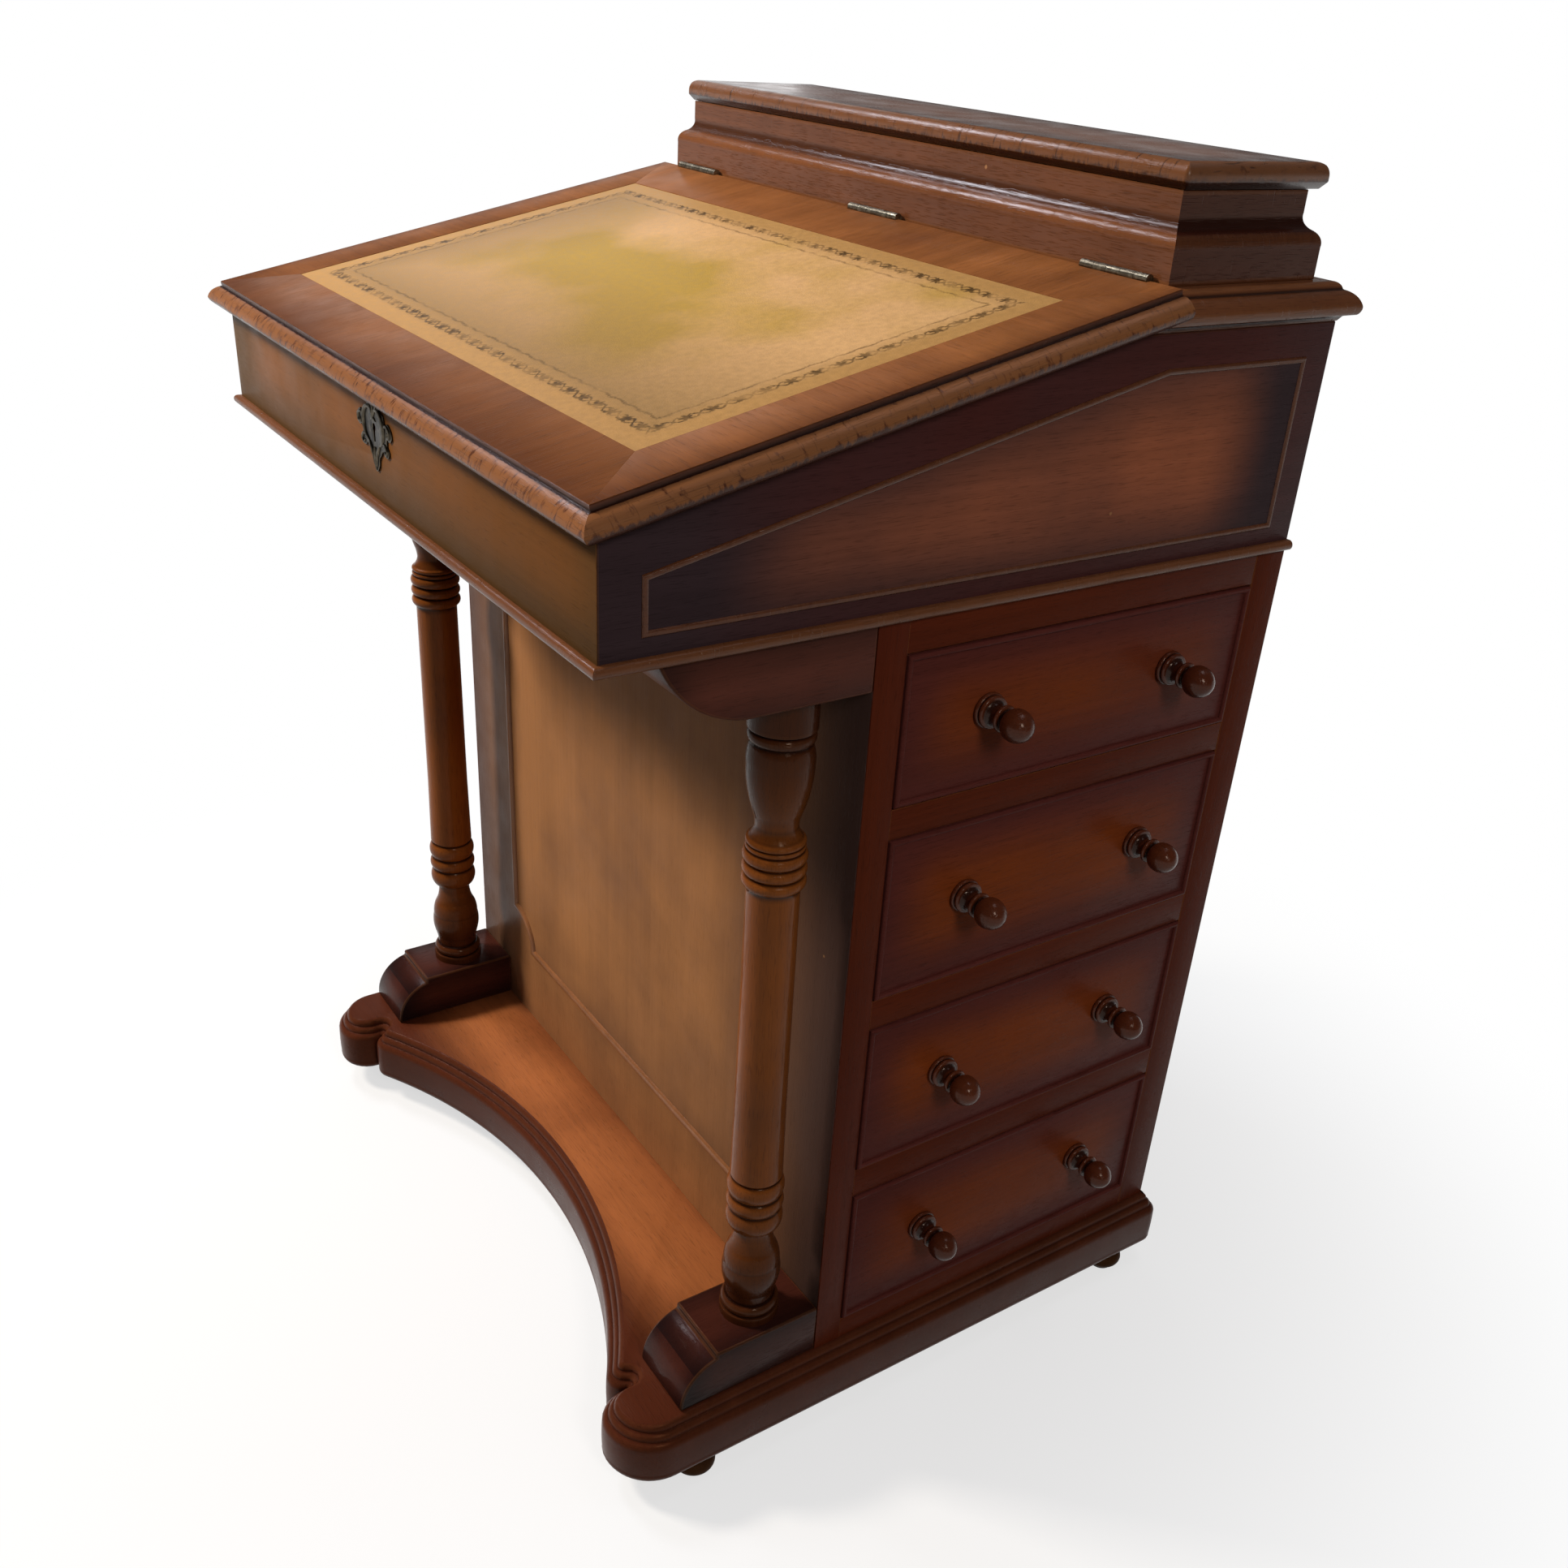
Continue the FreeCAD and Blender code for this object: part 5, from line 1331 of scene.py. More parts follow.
class DAVENPORT_OT_pedestal(bpy.types.Operator):
    """Make the pedestal's front, sides and back, and the notched bead on its front"""

    bl_idname = "davenport.pedestal"
    bl_label = "Pedestal"

    def execute(self, context):
        settings = context.scene.davenport
        ease = settings.sizes.eased_edge / MM
        fade = settings.sizes.panel_shade / MM
        veneer = settings.sizes.veneer / MM
        low, high = span("pedestal_front")
        bead_low, bead_high = span("front_panel_bead")
        bead_low += Vector((3.5, 0, 3.5))
        bead_high -= Vector((3.5, 0, 3.5))

        def notched(out):
            radius = 32 - out
            lean = math.asin(out / radius)
            corner = Vector((bead_high.x, bead_low.z))
            turn = arc(corner, radius, math.pi + lean, math.pi / 2 - lean, 9)
            middle = (bead_low.z + bead_high.z) / 2
            turn += [Vector((p.x, 2 * middle - p.y)) for p in reversed(turn)]
            return turn + [Vector((-p.x, p.y)) for p in reversed(turn)]

        form = Form()
        # The margin darkens more towards its right edge than its left: painted shade beside the
        # right column.
        margin = panel_field(Vector((-290, 0, -OPEN)), Vector((268, 0, OPEN)), 150)
        lip = Vector((1.2, 0, 0))
        form.board(low + lip, high - lip, Look(UP, 31, margin, wear=0), 0.1)

        # The panel darkens much more at its right side than at its left, top and bottom: painted
        # shade from the right column and the case.
        def inner(point, normal):
            return [
                (point.x - bead_low.x) / fade + 0.6, (bead_high.x - 4 - point.x) / fade,
                (point.z - bead_low.z) / fade + 0.6, (bead_high.z - point.z) / fade + 0.6,
            ]

        form.prism(
            notched(-3), 1, low.y - veneer, low.y + 0.5, Look(UP, 32, inner), 0,
        )
        form.build("pedestal_front_board", "desk", finish_of(settings, "pedestal"), "mahogany",
                   ["pedestal_front"])
        form = Form()
        for start, end in ((low.x, low.x + lip.x), (high.x - lip.x, high.x)):
            form.board(
                Vector((start, low.y, low.z)), Vector((end, high.y, high.z)),
                Look(UP, 34, wear=0), 0.1,
            )
        form.build("pedestal_front_lippings", "desk", finish_of(settings, "rail"), "mahogany")
        bead = Section(
            [(3.5, -0.4), (3.5, 0.5, 2.3), (-3.5, 0.5), (-3.5, -0.4)],
            ease=0.1, closed=True, feel=2,
        )
        form = Form()
        form.loops(
            bead,
            lambda out, up: [Vector((p.x, low.y - up, p.y)) for p in notched(out)],
            Look(UP, 33),
        )
        form.build("notched_front_bead", "desk", finish_of(settings, "front_bead"),
                   "mahogany_edge", ["front_panel_bead"])

        form = Form()
        for index, rail in enumerate(RAILS):
            form.board(
                Vector((250, -55, rail[0])), Vector((270, 210, rail[1])),
                Look(ALONG_Y, 40 + index), 0.4,
            )
        form.board(Vector((250, 210, 64)), Vector((270, 235, 585)), Look(UP, 46), ease)
        form.build("drawer_side_rails", "desk", finish_of(settings, "rail"), "mahogany",
                   ["drawer_side_frame"])

        form = Form()
        low, high = span("pedestal_left_side")
        form.board(low, high, Look(UP, 48), ease)
        form.build("pedestal_left_board", "desk", finish_of(settings, "rail"), "mahogany",
                   ["pedestal_left_side"])
        form = Form()
        low, high = span("pedestal_back")
        form.board(low, high, Look(UP, 49, panel_field(low, high, 90)), 0.5)
        form.build("pedestal_back_board", "desk", finish_of(settings, "case"), "mahogany",
                   ["pedestal_back"])
        return {"FINISHED"}


RAILS = [(565.5, 585), (453.7, 473), (323.5, 344), (191.5, 213), (64, 81.4)]
KNOB_LEGS = [
    (3.2, 9.8, 1), (0, 9, 0), (3, 9, 1), (0, 7.8, 0), (4.8, 5.6, -0.8), (2.4, 5.6, 0),
    (0, 7.2, 0), (2.6, 7.2, 1), (0, 5.6, 0), (1.6, 5.6, 0), (6.9, 9.7, 1.1), (11.5, 0, 2.9),
]


def drawer_front(form, sign, low, high, field, seed, settings):
    """A drawer's face board and the cock bead let in round it."""
    face_low = Vector((min(sign * 252, sign * 270), -54, low))
    face_high = Vector((max(sign * 252, sign * 270), 209, high))
    if sign < 0:
        face_high.x = -269.4
        face_low.x -= 0.2
    form.board(face_low, face_high, Look(ALONG_Y, seed, field), 0.2)
    bead = half_round(3.5, 2)

    def ring(out, up):
        x = sign * (270 + up)
        return [
            Vector((x, -54 - out, low - out)), Vector((x, 209 + out, low - out)),
            Vector((x, 209 + out, high + out)), Vector((x, -54 - out, high + out)),
        ]

    form.loops(bead, ring, Look(ALONG_Y, seed + 1, at_edge, wear=0))


def knob_place(sign, y, z):
    return lambda radius, height, angle: (
        sign * (270 + height), y + radius * math.cos(angle), z + radius * math.sin(angle),
    )


class DAVENPORT_OT_drawers(bpy.types.Operator):
    """Make the four drawers, their linings and knobs"""

    bl_idname = "davenport.drawers"
    bl_label = "Drawers"

    def execute(self, context):
        settings = context.scene.davenport
        steps = settings.sizes.lathe_steps
        fade = settings.sizes.drawer_shade / MM
        section = Section(lathe(9.8, KNOB_LEGS), ease=0.3)
        for number in range(1, 5):
            drawer = "drawer_%d" % number
            low, high = span(drawer + "_front")
            field = panel_field(
                Vector((0, low.y + 2, low.z + 2)), Vector((0, high.y - 2, high.z - 2)), fade,
            )
            form = Form()
            drawer_front(form, 1, low.z, high.z, field, 50 + 3 * number, settings)
            form.build(drawer + "_face_board", drawer, finish_of(settings, "drawer"),
                       "mahogany", [drawer + "_front"])
            knob_low, knob_high = span(drawer + "_knobs")
            z = (knob_low.z + knob_high.z) / 2
            form = Form()
            for y in (6.5, 148.5):
                form.turned(
                    section, knob_place(1, y, z), Look(ALONG_X, number * 7 + int(y)), steps,
                )
            form.build(drawer + "_turned_knobs", drawer, finish_of(settings, "knob"),
                       "mahogany_edge", [drawer + "_knobs"])
            for part, along in (("sides", ALONG_X), ("bottom", ALONG_Y), ("back", ALONG_Y)):
                node = drawer + "_" + part
                dress(node, finish_of(settings, "lining"), along, hash_of(node))
        for node in ("dust_boards", "drawer_guides"):
            dress(node, finish_of(settings, "lining"), ALONG_Y, hash_of(node))
        return {"FINISHED"}


class DAVENPORT_OT_dummy_drawers(bpy.types.Operator):
    """Make the four dummy drawer fronts on the left side, with their beads and knobs"""

    bl_idname = "davenport.dummy_drawers"
    bl_label = "Dummy drawers"

    def execute(self, context):
        settings = context.scene.davenport
        steps = settings.sizes.lathe_steps
        fade = settings.sizes.drawer_shade / MM
        section = Section(lathe(9.8, KNOB_LEGS), ease=0.3)
        fronts, knobs = Form(), Form()
        for number in range(1, 5):
            low, high = span("drawer_%d_front" % number)
            knob_low, knob_high = span("drawer_%d_knobs" % number)
            field = panel_field(
                Vector((0, low.y + 2, low.z + 2)), Vector((0, high.y - 2, high.z - 2)), fade,
            )
            drawer_front(fronts, -1, low.z, high.z, field, 80 + 3 * number, settings)
            z = (knob_low.z + knob_high.z) / 2
            for y in (6.5, 148.5):
                knobs.turned(
                    section, knob_place(-1, y, z), Look(ALONG_X, 90 + number * 7 + int(y)),
                    steps,
                )
        fronts.build("dummy_drawer_fronts", "desk", finish_of(settings, "drawer"), "mahogany",
                     ["dummy_cock_beads"])
        knobs.build("dummy_turned_knobs", "desk", finish_of(settings, "knob"),
                    "mahogany_edge", ["dummy_knobs"])
        return {"FINISHED"}


def bead_outline(inset):
    """The outline of the bead on the case side in y and z, drawn in by an inset."""
    low, high, near, far = 600.5 + inset, 700.5 - inset, -212.5 + inset, 215 - inset
    turn = 105 + inset * math.tan(SLOPE / 2)
    return [
        Vector((near, low)), Vector((far, low)), Vector((far, high)), Vector((turn, high)),
        Vector((near, high - (turn - near) * math.tan(SLOPE))),
    ]


def side_field(low, high, fade):
    """Distances to the sides of a case side, whose top falls along the slope."""

    def sides(point, normal):
        level = (high.z - point.z) / fade
        drop = (high.z - point.z - (105 - point.y) * math.tan(SLOPE)) * math.cos(SLOPE) / fade
        return [
            (point.y - low.y) / fade, (high.y - point.y) / fade, (point.z - low.z) / fade,
            min(level, drop),
        ]

    return sides


class DAVENPORT_OT_slope_box(bpy.types.Operator):
    """Make the slope box: its front, sides, back, bottom and applied beads"""

    bl_idname = "davenport.slope_box"
    bl_label = "Slope box"

    def execute(self, context):
        settings = context.scene.davenport
        ease = settings.sizes.eased_edge / MM
        veneer = settings.sizes.veneer / MM
        case = finish_of(settings, "case")
        outline = [(-234.9, 585), (235, 585), (235, 719), (85.58, 719), (-234.9, 648.55)]
        for side, sign in (("right", 1), ("left", -1)):
            node = "case_%s_side" % side
            low, high = span(node)
            form = Form()
            margin = panel_field(Vector((0, -206, 520)), Vector((0, 300, 800)), 110)
            form.prism(outline, 0, low.x, high.x, Look(ALONG_Y, 60 + sign, margin), ease)
            form.build("slope_box_%s_board" % side, "desk", finish_of(settings, "case_margin"),
                       "mahogany", [node])
            form = Form()
            face = sign * 270
            inner = side_field(Vector((0, -180, 582)), Vector((0, 204, 724)), 66)
            columns = [-209.5 + (212 + 209.5) * i / 34 for i in range(35)]
            form.slab(
                columns, 8,
                lambda y, share: Vector((
                    face + sign * veneer, y,
                    603 + share * (698 - 603 - max(0, 105 - y) * math.tan(SLOPE)),
                )),
                Vector((-sign * 1.0, 0, 0)), Look(ALONG_Y, 64 + sign, inner),
            )
            form.build("slope_box_%s_veneer" % side, "desk", case, "mahogany")

        bead = half_round(3.5, 1.5)
        form = Form()
        for sign in (1, -1):
            form.loops(
                bead,
                lambda out, up: [
                    Vector((sign * (270 + up), p.x, p.y)) for p in bead_outline(-out)
                ],
                Look(ALONG_Y, 66 + sign, wear=0.4),
            )
        form.build("slope_box_side_beads", "desk", finish_of(settings, "bead"),
                   "mahogany_edge", ["case_side_beads"])

        form = Form()
        core = [(-234.9, 585), (-217, 585), (-217, 652.47), (-234.9, 648.55)]
        face = [(-235.3, 585), (-234.9, 585), (-234.9, 648.55), (-235.3, 648.46)]
        field = panel_field(Vector((-262, -OPEN, 588)), Vector((300, OPEN, 672)), 70)
        hole = [(-4, 617), (4, 617), (4, 641), (-4, 641)]
        form.pierced_front(core, hole, 249.9, Look(ALONG_X, 71), 0.3)
        form.pierced_front(face, hole, 270, Look(ALONG_X, 70, field), 0.12)
        form.build("slope_box_front_board", "desk", finish_of(settings, "slope_front"),
                   "mahogany", ["case_front"])

        form = Form()
        round_bead = Section(
            [(-1, 0), (2.2, 0, 2.6), (2.2, 6), (-1, 6)], ease=0.1, closed=True, feel=2.4,
        )
        form.strip(
            round_bead, lambda out, up: (-270 - out, -235 - out, 585 + up),
            lambda out, up: (270 + out, -235 - out, 585 + up), Look(ALONG_X, 72),
        )
        for sign in (1, -1):
            form.strip(
                round_bead, lambda out, up: (sign * (270 + out), -235 - out, 585 + up),
                lambda out, up: (sign * (270 + out), 235, 585 + up), Look(ALONG_Y, 73 + sign),
            )
        form.build("slope_box_foot_bead", "desk", finish_of(settings, "bead"),
                   "mahogany_edge", ["case_foot_bead"])

        form = Form()
        low, high = span("case_back")
        form.board(low, high, Look(ALONG_X, 76, panel_field(low, high, 60)), 0.4)
        form.build("slope_box_back_board", "desk", case, "mahogany", ["case_back"])
        dress("case_bottom", finish_of(settings, "lining"), ALONG_X, 77)
        dress("well_partition", finish_of(settings, "lining"), ALONG_X, 78)
        return {"FINISHED"}


LEDGE = [
    (-20, 0), (0, 0), (2, 3), (7.4, 4.3, 0.6), (9, 9, 1.6), (0.5, 17), (-0.2, 17.3, 1.2),
    (-5.5, 21), (-20, 21),
]


class DAVENPORT_OT_ledge(bpy.types.Operator):
    """Run the moulding round the sides and back behind the lid"""

    bl_idname = "davenport.ledge"
    bl_label = "Ledge moulding"

    def execute(self, context):
        settings = context.scene.davenport
        section = Section(LEDGE, closed=True)
        form = Form()
        for sign in (1, -1):
            form.strip(
                section,
                lambda out, up: (
                    sign * (270 + out), 102 + (up - 23) * (102 - 85.58) / 23, 719 + up,
                ),
                lambda out, up: (sign * (270 + out), 235 + out, 719 + up),
                Look(ALONG_Y, 100 + sign),
            )
        form.strip(
            section, lambda out, up: (-270 - out, 235 + out, 719 + up),
            lambda out, up: (270 + out, 235 + out, 719 + up), Look(ALONG_X, 103),
        )
        form.build("ledge_moulding_strips", "desk", finish_of(settings, "gallery"),
                   "mahogany_edge", ["ledge_moulding"])
        return {"FINISHED"}


LID_EDGE = [
    (-22.5, -18), (-1.5, -18), (5.5, -15, 0.8), (9.5, -9.5, 1.4), (1, -3), (0, -3), (0, 0),
    (-22.5, 0),
]


class DAVENPORT_OT_lid(bpy.types.Operator):
    """Make the writing lid with its moulding, crossbanding and leather"""

    bl_idname = "davenport.lid"
    bl_label = "Writing lid"

    def execute(self, context):
        settings = context.scene.davenport
        veneer = settings.sizes.veneer / MM
        dress("lid_panel", finish_of(settings, "lid"), ALONG_X, 110)

        def lid_edge(most):
            return Section(
                LID_EDGE, ease=0.6, closed=True,
                bare=lambda out, up: max(0, min(most, (up + 14) / 9)) * (out > 1),
                # dark darkens the quirk for glaze and painted shade, and paints shade on the
                # underside below the nose.
                dark=lambda out, up: 0.85 if out < 1.3 and -3.6 < up < -2.2 else (-14 - up) / 4,
            )

        form = Form()
        form.strip(
            lid_edge(0.56), lambda out, up: (-272.5 - out, -353 - out, up),
            lambda out, up: (272.5 + out, -353 - out, up), Look(ALONG_X, 111),
        )
        section = lid_edge(0.64)
        for sign in (1, -1):
            form.strip(
                section, lambda out, up: (sign * (272.5 + out), -353 - out, up),
                lambda out, up: (sign * (272.5 + out), -3.4, up), Look(ALONG_Y, 112 + sign),
            )
        form.build("lid_moulding_strips", "writing_lid", finish_of(settings, "moulding"),
                   "mahogany_edge", ["lid_moulding"], laid=LAID_DOWN)

        rear = [(-272.2, -3.5)]
        for centre in (-222, 0, 222):
            rear += [
                (centre - 26.4, -3.5), (centre - 26.4, -6), (centre + 26.4, -6),
                (centre + 26.4, -3.5),
            ]
        rear += [(272.2, -3.5), (234.3, -50.7), (-234.3, -50.7)]
        bands = [
            (rear, ALONG_Y),
            ([(-272.2, -352.7), (272.2, -352.7), (234.3, -309.3), (-234.3, -309.3)], ALONG_Y),
            ([(272.2, -352.7), (272.2, -3.5), (234.3, -50.7), (234.3, -309.3)], ALONG_X),
            ([(-272.2, -352.7), (-234.3, -309.3), (-234.3, -50.7), (-272.2, -3.5)], ALONG_X),
        ]
        form = Form()
        def field(point, normal):
            return [
                (point.x + 282) / 26, (282 - point.x) / 26, (point.y + 372) / 70,
                (20 - point.y) / 26,
            ]

        for band, along in bands:
            form.prism(band, 2, -0.3, veneer, Look(along, 115, field), 0.12)
        form.build("lid_crossbanding", "writing_lid", finish_of(settings, "lid"), "mahogany",
                   laid=LAID_DOWN)

        form = Form()
        low, high = Vector((-234, -309, -1.2)), Vector((234, -51, 0.05))
        form.board(low, high, Look(ALONG_X, 120, panel_field(low, high, 1000)), 0.3)
        form.build("tooled_leather_panel", "writing_lid", tooled_leather(
            "Tooled_tan_hide", settings), "writing_leather", ["leather_inlay"], laid=LAID_DOWN)
        return {"FINISHED"}


GALLERY_WALL = [
    (-16, 0), (0, 0), (0, 17, 1.6), (-4.5, 25.4, -1.6), (-9, 33.8), (-9, 45.7), (-16, 45.7),
]


class DAVENPORT_OT_gallery(bpy.types.Operator):
    """Make the stationery gallery and its lid"""

    bl_idname = "davenport.gallery"
    bl_label = "Stationery gallery"

    def execute(self, context):
        settings = context.scene.davenport
        moulding = finish_of(settings, "gallery")
        section = Section(GALLERY_WALL, closed=True, feel=3)
        for name, y, face in (("front", 105, -1), ("back", 221, 1)):
            form = Form()
            form.strip(
                section, lambda out, up: (-259 - out, y + face * out, 740 + up),
                lambda out, up: (259 + out, y + face * out, 740 + up), Look(ALONG_X, 130 + y),
            )
            form.build("gallery_%s_wall" % name, "desk", moulding, "mahogany",
                       ["gallery_" + name])
        form = Form()
        for sign in (1, -1):
            form.strip(
                section, lambda out, up: (sign * (259 + out), 105 - out, 740 + up),
                lambda out, up: (sign * (259 + out), 221 + out, 740 + up),
                Look(ALONG_Y, 135 + sign),
            )
        # The side walls take the darker copy of the gallery finish, which paints shade on them.
        form.build("gallery_side_walls", "desk", finish_of(settings, "shaded_side_moulding"),
                   "mahogany", ["gallery_sides"])

        low, high = span("gallery_lid")
        edge = Section(
            [(-20, 0), (-4, 0), (0, 4), (0, 6.5, 2.05), (-7, 13.5), (-14, 13.5)],
            ease=0.4,
            bare=lambda out, up: max(0, min(0.62, (up - 2.5) / 5, (out + 9) / 6)),
            # dark paints shade on the bottom 2 mm of the edge, under its nose.
            dark=lambda out, up: 0.7 * (up < 2),
        )
        form = Form()
        form.loops(
            edge,
            lambda out, up: [
                Vector((p.x, p.y, low.z + up)) for p in rounded(low.xy, high.xy, out)
            ],
            Look(ALONG_X, 140, panel_field(low, high, 46)),
        )
        form.build("gallery_lid_board", "stationery_lid", finish_of(settings, "gallery_lid"),
                   "mahogany", ["gallery_lid"])
        return {"FINISHED"}


class DAVENPORT_OT_fittings(bpy.types.Operator):
    """Dress the hinges and the lock, and cast the key plate"""

    bl_idname = "davenport.fittings"
    bl_label = "Hinges, lock and key plate"

    def execute(self, context):
        settings = context.scene.davenport
        for node in (
            "lid_hinges_fixed", "lid_hinges_moving", "gallery_hinges_fixed",
            "gallery_hinges_moving",
        ):
            dress(node, finish_of(settings, "brass"), ALONG_X, hash_of(node))
        for node in ("lock_case", "lock_bolt"):
            dress(node, finish_of(settings, "iron"), UP, hash_of(node))
        self.cast_key_plate(settings)
        return {"FINISHED"}

    def cast_key_plate(self, settings):
        low, high = span("escutcheon")
        middle = (low + high) / 2
        half = [
            (0, 16.2), (3.5, 14.6), (7.5, 15.8), (10.5, 12.6), (14.5, 12.2), (16.4, 7.4),
            (21, 9), (25.4, 6.4), (26.4, 1.8), (23, -0.8), (19.6, 0.4), (18.4, -3.6),
            (21, -6.4), (19.6, -10.4), (14.8, -10.6), (12, -8.2), (8.4, -11.6), (5.4, -14),
            (4.2, -18.4), (0, -22.6),
        ]
        outline = half + [(-x, z) for x, z in reversed(half[1:-1])]
        outline = smooth_loop([(middle.x + x, middle.z + z) for x, z in outline])
        hole = arc((middle.x, middle.z + 2.6), 2.3, math.radians(-50), math.radians(230), 14)
        hole += [Vector((middle.x - 1.1, middle.z - 5.4)), Vector((middle.x + 1.1, middle.z - 5.4))]
        form = Form()
        form.plate(outline, [hole], -236.3, -235.2, Look(UP, 150), 0.35)

        def strand(points, thick, seed):
            path = smooth_path(points)
            count = len(path) - 1
            radii = [
                thick * (0.35 + 0.65 * math.sin(math.pi * min(1, (i + 1) / (count + 1))))
                for i in range(count + 1)
            ]
            form.stroke(
                [(middle.x + x, -236.5, middle.z + z) for x, z in path], radii,
                Look(UP, seed, wear=0.8),
            )

        for sign in (1, -1):
            runs = [
                ([(3, 12.6), (8.5, 12.8), (13.6, 9.4), (15.4, 3), (13, -3.4), (8, -6.4)], 1.5),
                ([(14.6, 4.6), (19, 7.4), (23.6, 5.6), (23.6, 2), (20.6, 1.6), (21, 4)], 1.1),
                ([(12.6, -4.4), (16.6, -4), (19.4, -7), (17.2, -9.4), (15, -7.6)], 1.0),
                ([(8, -6.4), (5.6, -9.4), (3.4, -12.6), (1.6, -19)], 1.3),
                ([(0.8, 9), (2.6, 12), (5.6, 14.6)], 0.8),
            ]
            for seed, (points, thick) in enumerate(runs):
                strand([(sign * x, z) for x, z in points], thick, 151 + seed)
        strand([(0, 7.4), (0.2, 11), (0, 15.4)], 1.0, 157)
        strand([(0, -8.4), (0.2, -14), (0, -21.4)], 1.4, 158)
        strand([(-3.4, 6.4), (0, 7.8), (3.4, 6.4)], 0.8, 159)
        form.build("rococo_key_plate", "desk", finish_of(settings, "bronze"), "dark_bronze",
                   ["escutcheon"])


class DAVENPORT_OT_stage(bpy.types.Operator):
    """Set up the floor, the room, the lamps and the camera"""

    bl_idname = "davenport.stage"
    bl_label = "Studio"

    def execute(self, context):
        settings = context.scene.davenport
        scene = context.scene
        scene.view_settings.view_transform = "Standard"
        self.lay_floor(scene)
        self.light_room(scene, settings.studio)
        self.hang_lamps(scene, settings.studio)
        self.place_camera(scene)
        return {"FINISHED"}

    def lay_floor(self, scene):
        material = bpy.data.materials.new("Pale_painted_floor")
        material.use_nodes = True
        tree = material.node_tree
        tree.nodes.clear()
        path = add(tree, "ShaderNodeLightPath")
        seen = add(
            tree, "ShaderNodeMath", {0: path.outputs["Is Glossy Ray"],
                                     1: path.outputs["Is Transmission Ray"]},
            operation="MAXIMUM",
        )
        seen = add(
            tree, "ShaderNodeMath", {0: seen, 1: path.outputs["Is Camera Ray"]},
            operation="MAXIMUM",
        )
        # Seen directly the floor fades from a soft shadow into the white background about a
        # metre from the desk; for the light that it throws back it is a mid grey.
        place = add(tree, "ShaderNodeNewGeometry")
        away = add(tree, "ShaderNodeVectorMath", {0: place}, operation="LENGTH")
        far = add(
            tree, "ShaderNodeMapRange",
            {"Value": away.outputs["Value"], "From Min": 0.3, "From Max": 0.85,
             "To Min": 0.66},
            interpolation_type="SMOOTHSTEP",
        )
        far = add(tree, "ShaderNodeMath", {0: far, 1: seen}, operation="MULTIPLY")
        tint = add(
            tree, "ShaderNodeMix", {0: seen, 6: linear("#727272"), 7: linear("#f6f6f6")},
            data_type="RGBA",
        )
        paint = add(tree, "ShaderNodeBsdfDiffuse", {"Color": tint})
        glow = add(tree, "ShaderNodeEmission", {"Color": linear("#ffffff")})
        mix = add(tree, "ShaderNodeMixShader", {0: far, 1: paint, 2: glow})
        add(tree, "ShaderNodeOutputMaterial", {"Surface": mix})
        mesh = bpy.data.meshes.new("studio_floor")
        size = 12
        mesh.from_pydata(
            [(-size, -size, 0), (size, -size, 0), (size, size, 0), (-size, size, 0)], [],
            [(0, 1, 2, 3)],
        )
        mesh.materials.append(material)
        floor = bpy.data.objects.new("studio_floor", mesh)
        scene.collection.objects.link(floor)

    def light_room(self, scene, studio):
        world = bpy.data.worlds.new("studio_room")
        scene.world = world
        world.use_nodes = True
        tree = world.node_tree
        tree.nodes.clear()
        path = add(tree, "ShaderNodeLightPath")
        facing = add(tree, "ShaderNodeTexCoord")
        # Reflections see the white backdrop at the horizon and a dim room above it.
        height = add(tree, "ShaderNodeSeparateXYZ", {0: facing.outputs["Generated"]})
        haze = add(
            tree, "ShaderNodeMapRange",
            {"Value": height.outputs["Z"], "From Min": 0.03, "From Max": 0.24,
             "To Min": 0.36, "To Max": 0.08},
        )
        behind = add(
            tree, "ShaderNodeMapRange",
            {"Value": height.outputs["Z"], "From Min": 0.0, "From Max": 0.02,
             "To Min": 1, "To Max": haze},
        )
        glossy = add(
            tree, "ShaderNodeMath", {0: path.outputs["Is Glossy Ray"],
                                     1: path.outputs["Is Transmission Ray"]},
            operation="MAXIMUM",
        )
        level = add(
            tree, "ShaderNodeMix", {0: glossy, 2: studio.room, 3: behind},
        )
        level = add(
            tree, "ShaderNodeMath", {0: level, 1: path.outputs["Is Camera Ray"]},
            operation="MAXIMUM",
        )
        glow = add(
            tree, "ShaderNodeBackground", {"Color": linear("#ffffff"), "Strength": level},
        )
        add(tree, "ShaderNodeOutputWorld", {"Surface": glow})

    def hang_lamps(self, scene, studio):
        # The key lights without a mirror image of itself; the windows give the highlights.
        lamps = (
            ("key_softbox", (-1.36, -1.42, 2.0), (0.42, 0.42), studio.key, "#fff4e6", False),
            ("roof_window", (-1.33, -0.47, 1.94), (0.45, 0.5), studio.roof, "#e9f0ff", True),
            ("sky_panel", (0.35, 0.7, 2.5), (0.9, 0.6), studio.sky, "#f4f4ff", True),
            ("side_window", (1.95, -0.42, 1.7), (0.4, 0.6), studio.side, "#fff6ee", True),
            ("rear_window", (-1.88, 0.68, 1.2), (1.1, 0.8), studio.rear, "#f2f4f6", True),
        )
        for name, place, size, power, tint, mirrored in lamps:
            data = bpy.data.lights.new(name, "AREA")
            data.shape = "RECTANGLE"
            data.size, data.size_y = size
            data.energy = power
            data.color = linear(tint)[:3]
            lamp = bpy.data.objects.new(name, data)
            lamp.visible_glossy = mirrored
            lamp.location = place
            aim = Vector((0, 0, 0.5)) - Vector(place)
            lamp.rotation_euler = aim.to_track_quat("-Z", "Y").to_euler()
            scene.collection.objects.link(lamp)

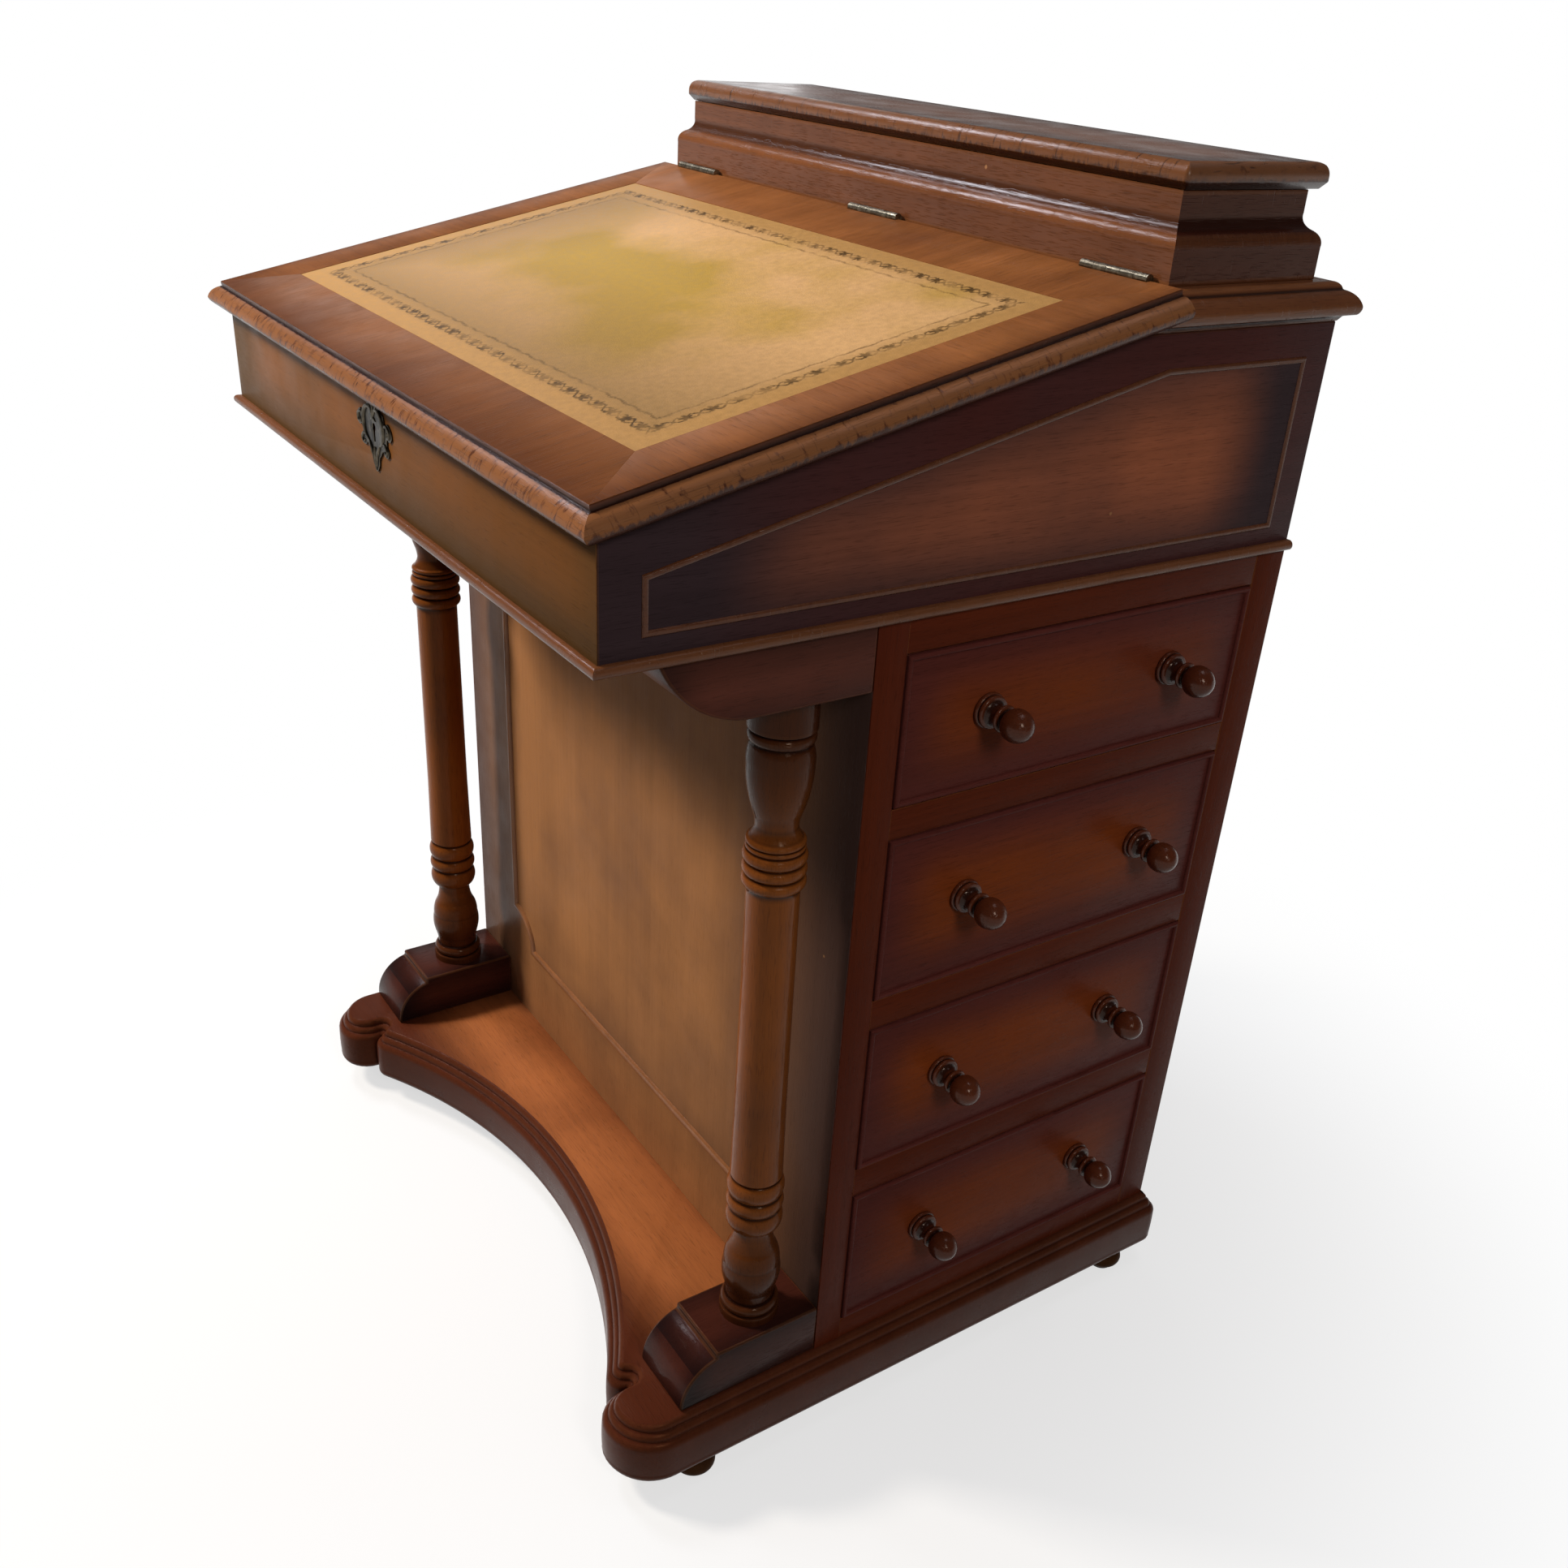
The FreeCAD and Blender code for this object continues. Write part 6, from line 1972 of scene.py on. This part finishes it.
    def place_camera(self, scene):
        data = bpy.data.cameras.new("studio_camera")
        data.lens = 35.02
        data.shift_x = -0.02243
        data.shift_y = 0.05398
        camera = bpy.data.objects.new("studio_camera", data)
        right = Vector((0.562139, 0.824428, 0.065709))
        up = Vector((-0.444166, 0.233924, 0.864868))
        back = Vector((0.697651, -0.515361, 0.497681))
        turn = Matrix((right, up, back)).transposed().to_4x4()
        camera.matrix_world = Matrix.Translation((0.8503, -0.5302, 0.8625)) @ turn
        scene.collection.objects.link(camera)
        scene.camera = camera


BUILDERS = (
    DAVENPORT_OT_base,
    DAVENPORT_OT_feet,
    DAVENPORT_OT_blocks,
    DAVENPORT_OT_columns,
    DAVENPORT_OT_pedestal,
    DAVENPORT_OT_drawers,
    DAVENPORT_OT_dummy_drawers,
    DAVENPORT_OT_slope_box,
    DAVENPORT_OT_ledge,
    DAVENPORT_OT_lid,
    DAVENPORT_OT_gallery,
    DAVENPORT_OT_fittings,
    DAVENPORT_OT_stage,
)


class DAVENPORT_PT_workshop(bpy.types.Panel):
    """Lists the steps that build the desk"""

    bl_idname = "DAVENPORT_PT_workshop"
    bl_label = "Davenport desk"
    bl_space_type = "VIEW_3D"
    bl_region_type = "UI"
    bl_category = "Davenport"

    def draw(self, context):
        desk = context.scene.davenport
        for group in (desk.sizes, desk.finish, desk.studio):
            box = self.layout.box()
            for name in group.bl_rna.properties.keys():
                if name not in ("rna_type", "name"):
                    box.prop(group, name)
        for builder in BUILDERS:
            self.layout.operator(builder.bl_idname)


CLASSES = (
    DAVENPORT_PG_sizes,
    DAVENPORT_PG_finish,
    DAVENPORT_PG_studio,
    DAVENPORT_PG_desk,
    *BUILDERS,
    DAVENPORT_PT_workshop,
)


def register():
    for item in CLASSES:
        bpy.utils.register_class(item)
    bpy.types.Scene.davenport = PointerProperty(type=DAVENPORT_PG_desk)


def unregister():
    del bpy.types.Scene.davenport
    for item in reversed(CLASSES):
        bpy.utils.unregister_class(item)


def main():
    register()
    for builder in BUILDERS:
        group, name = builder.bl_idname.split(".")
        getattr(getattr(bpy.ops, group), name)()


if __name__ == "__main__":
    main()
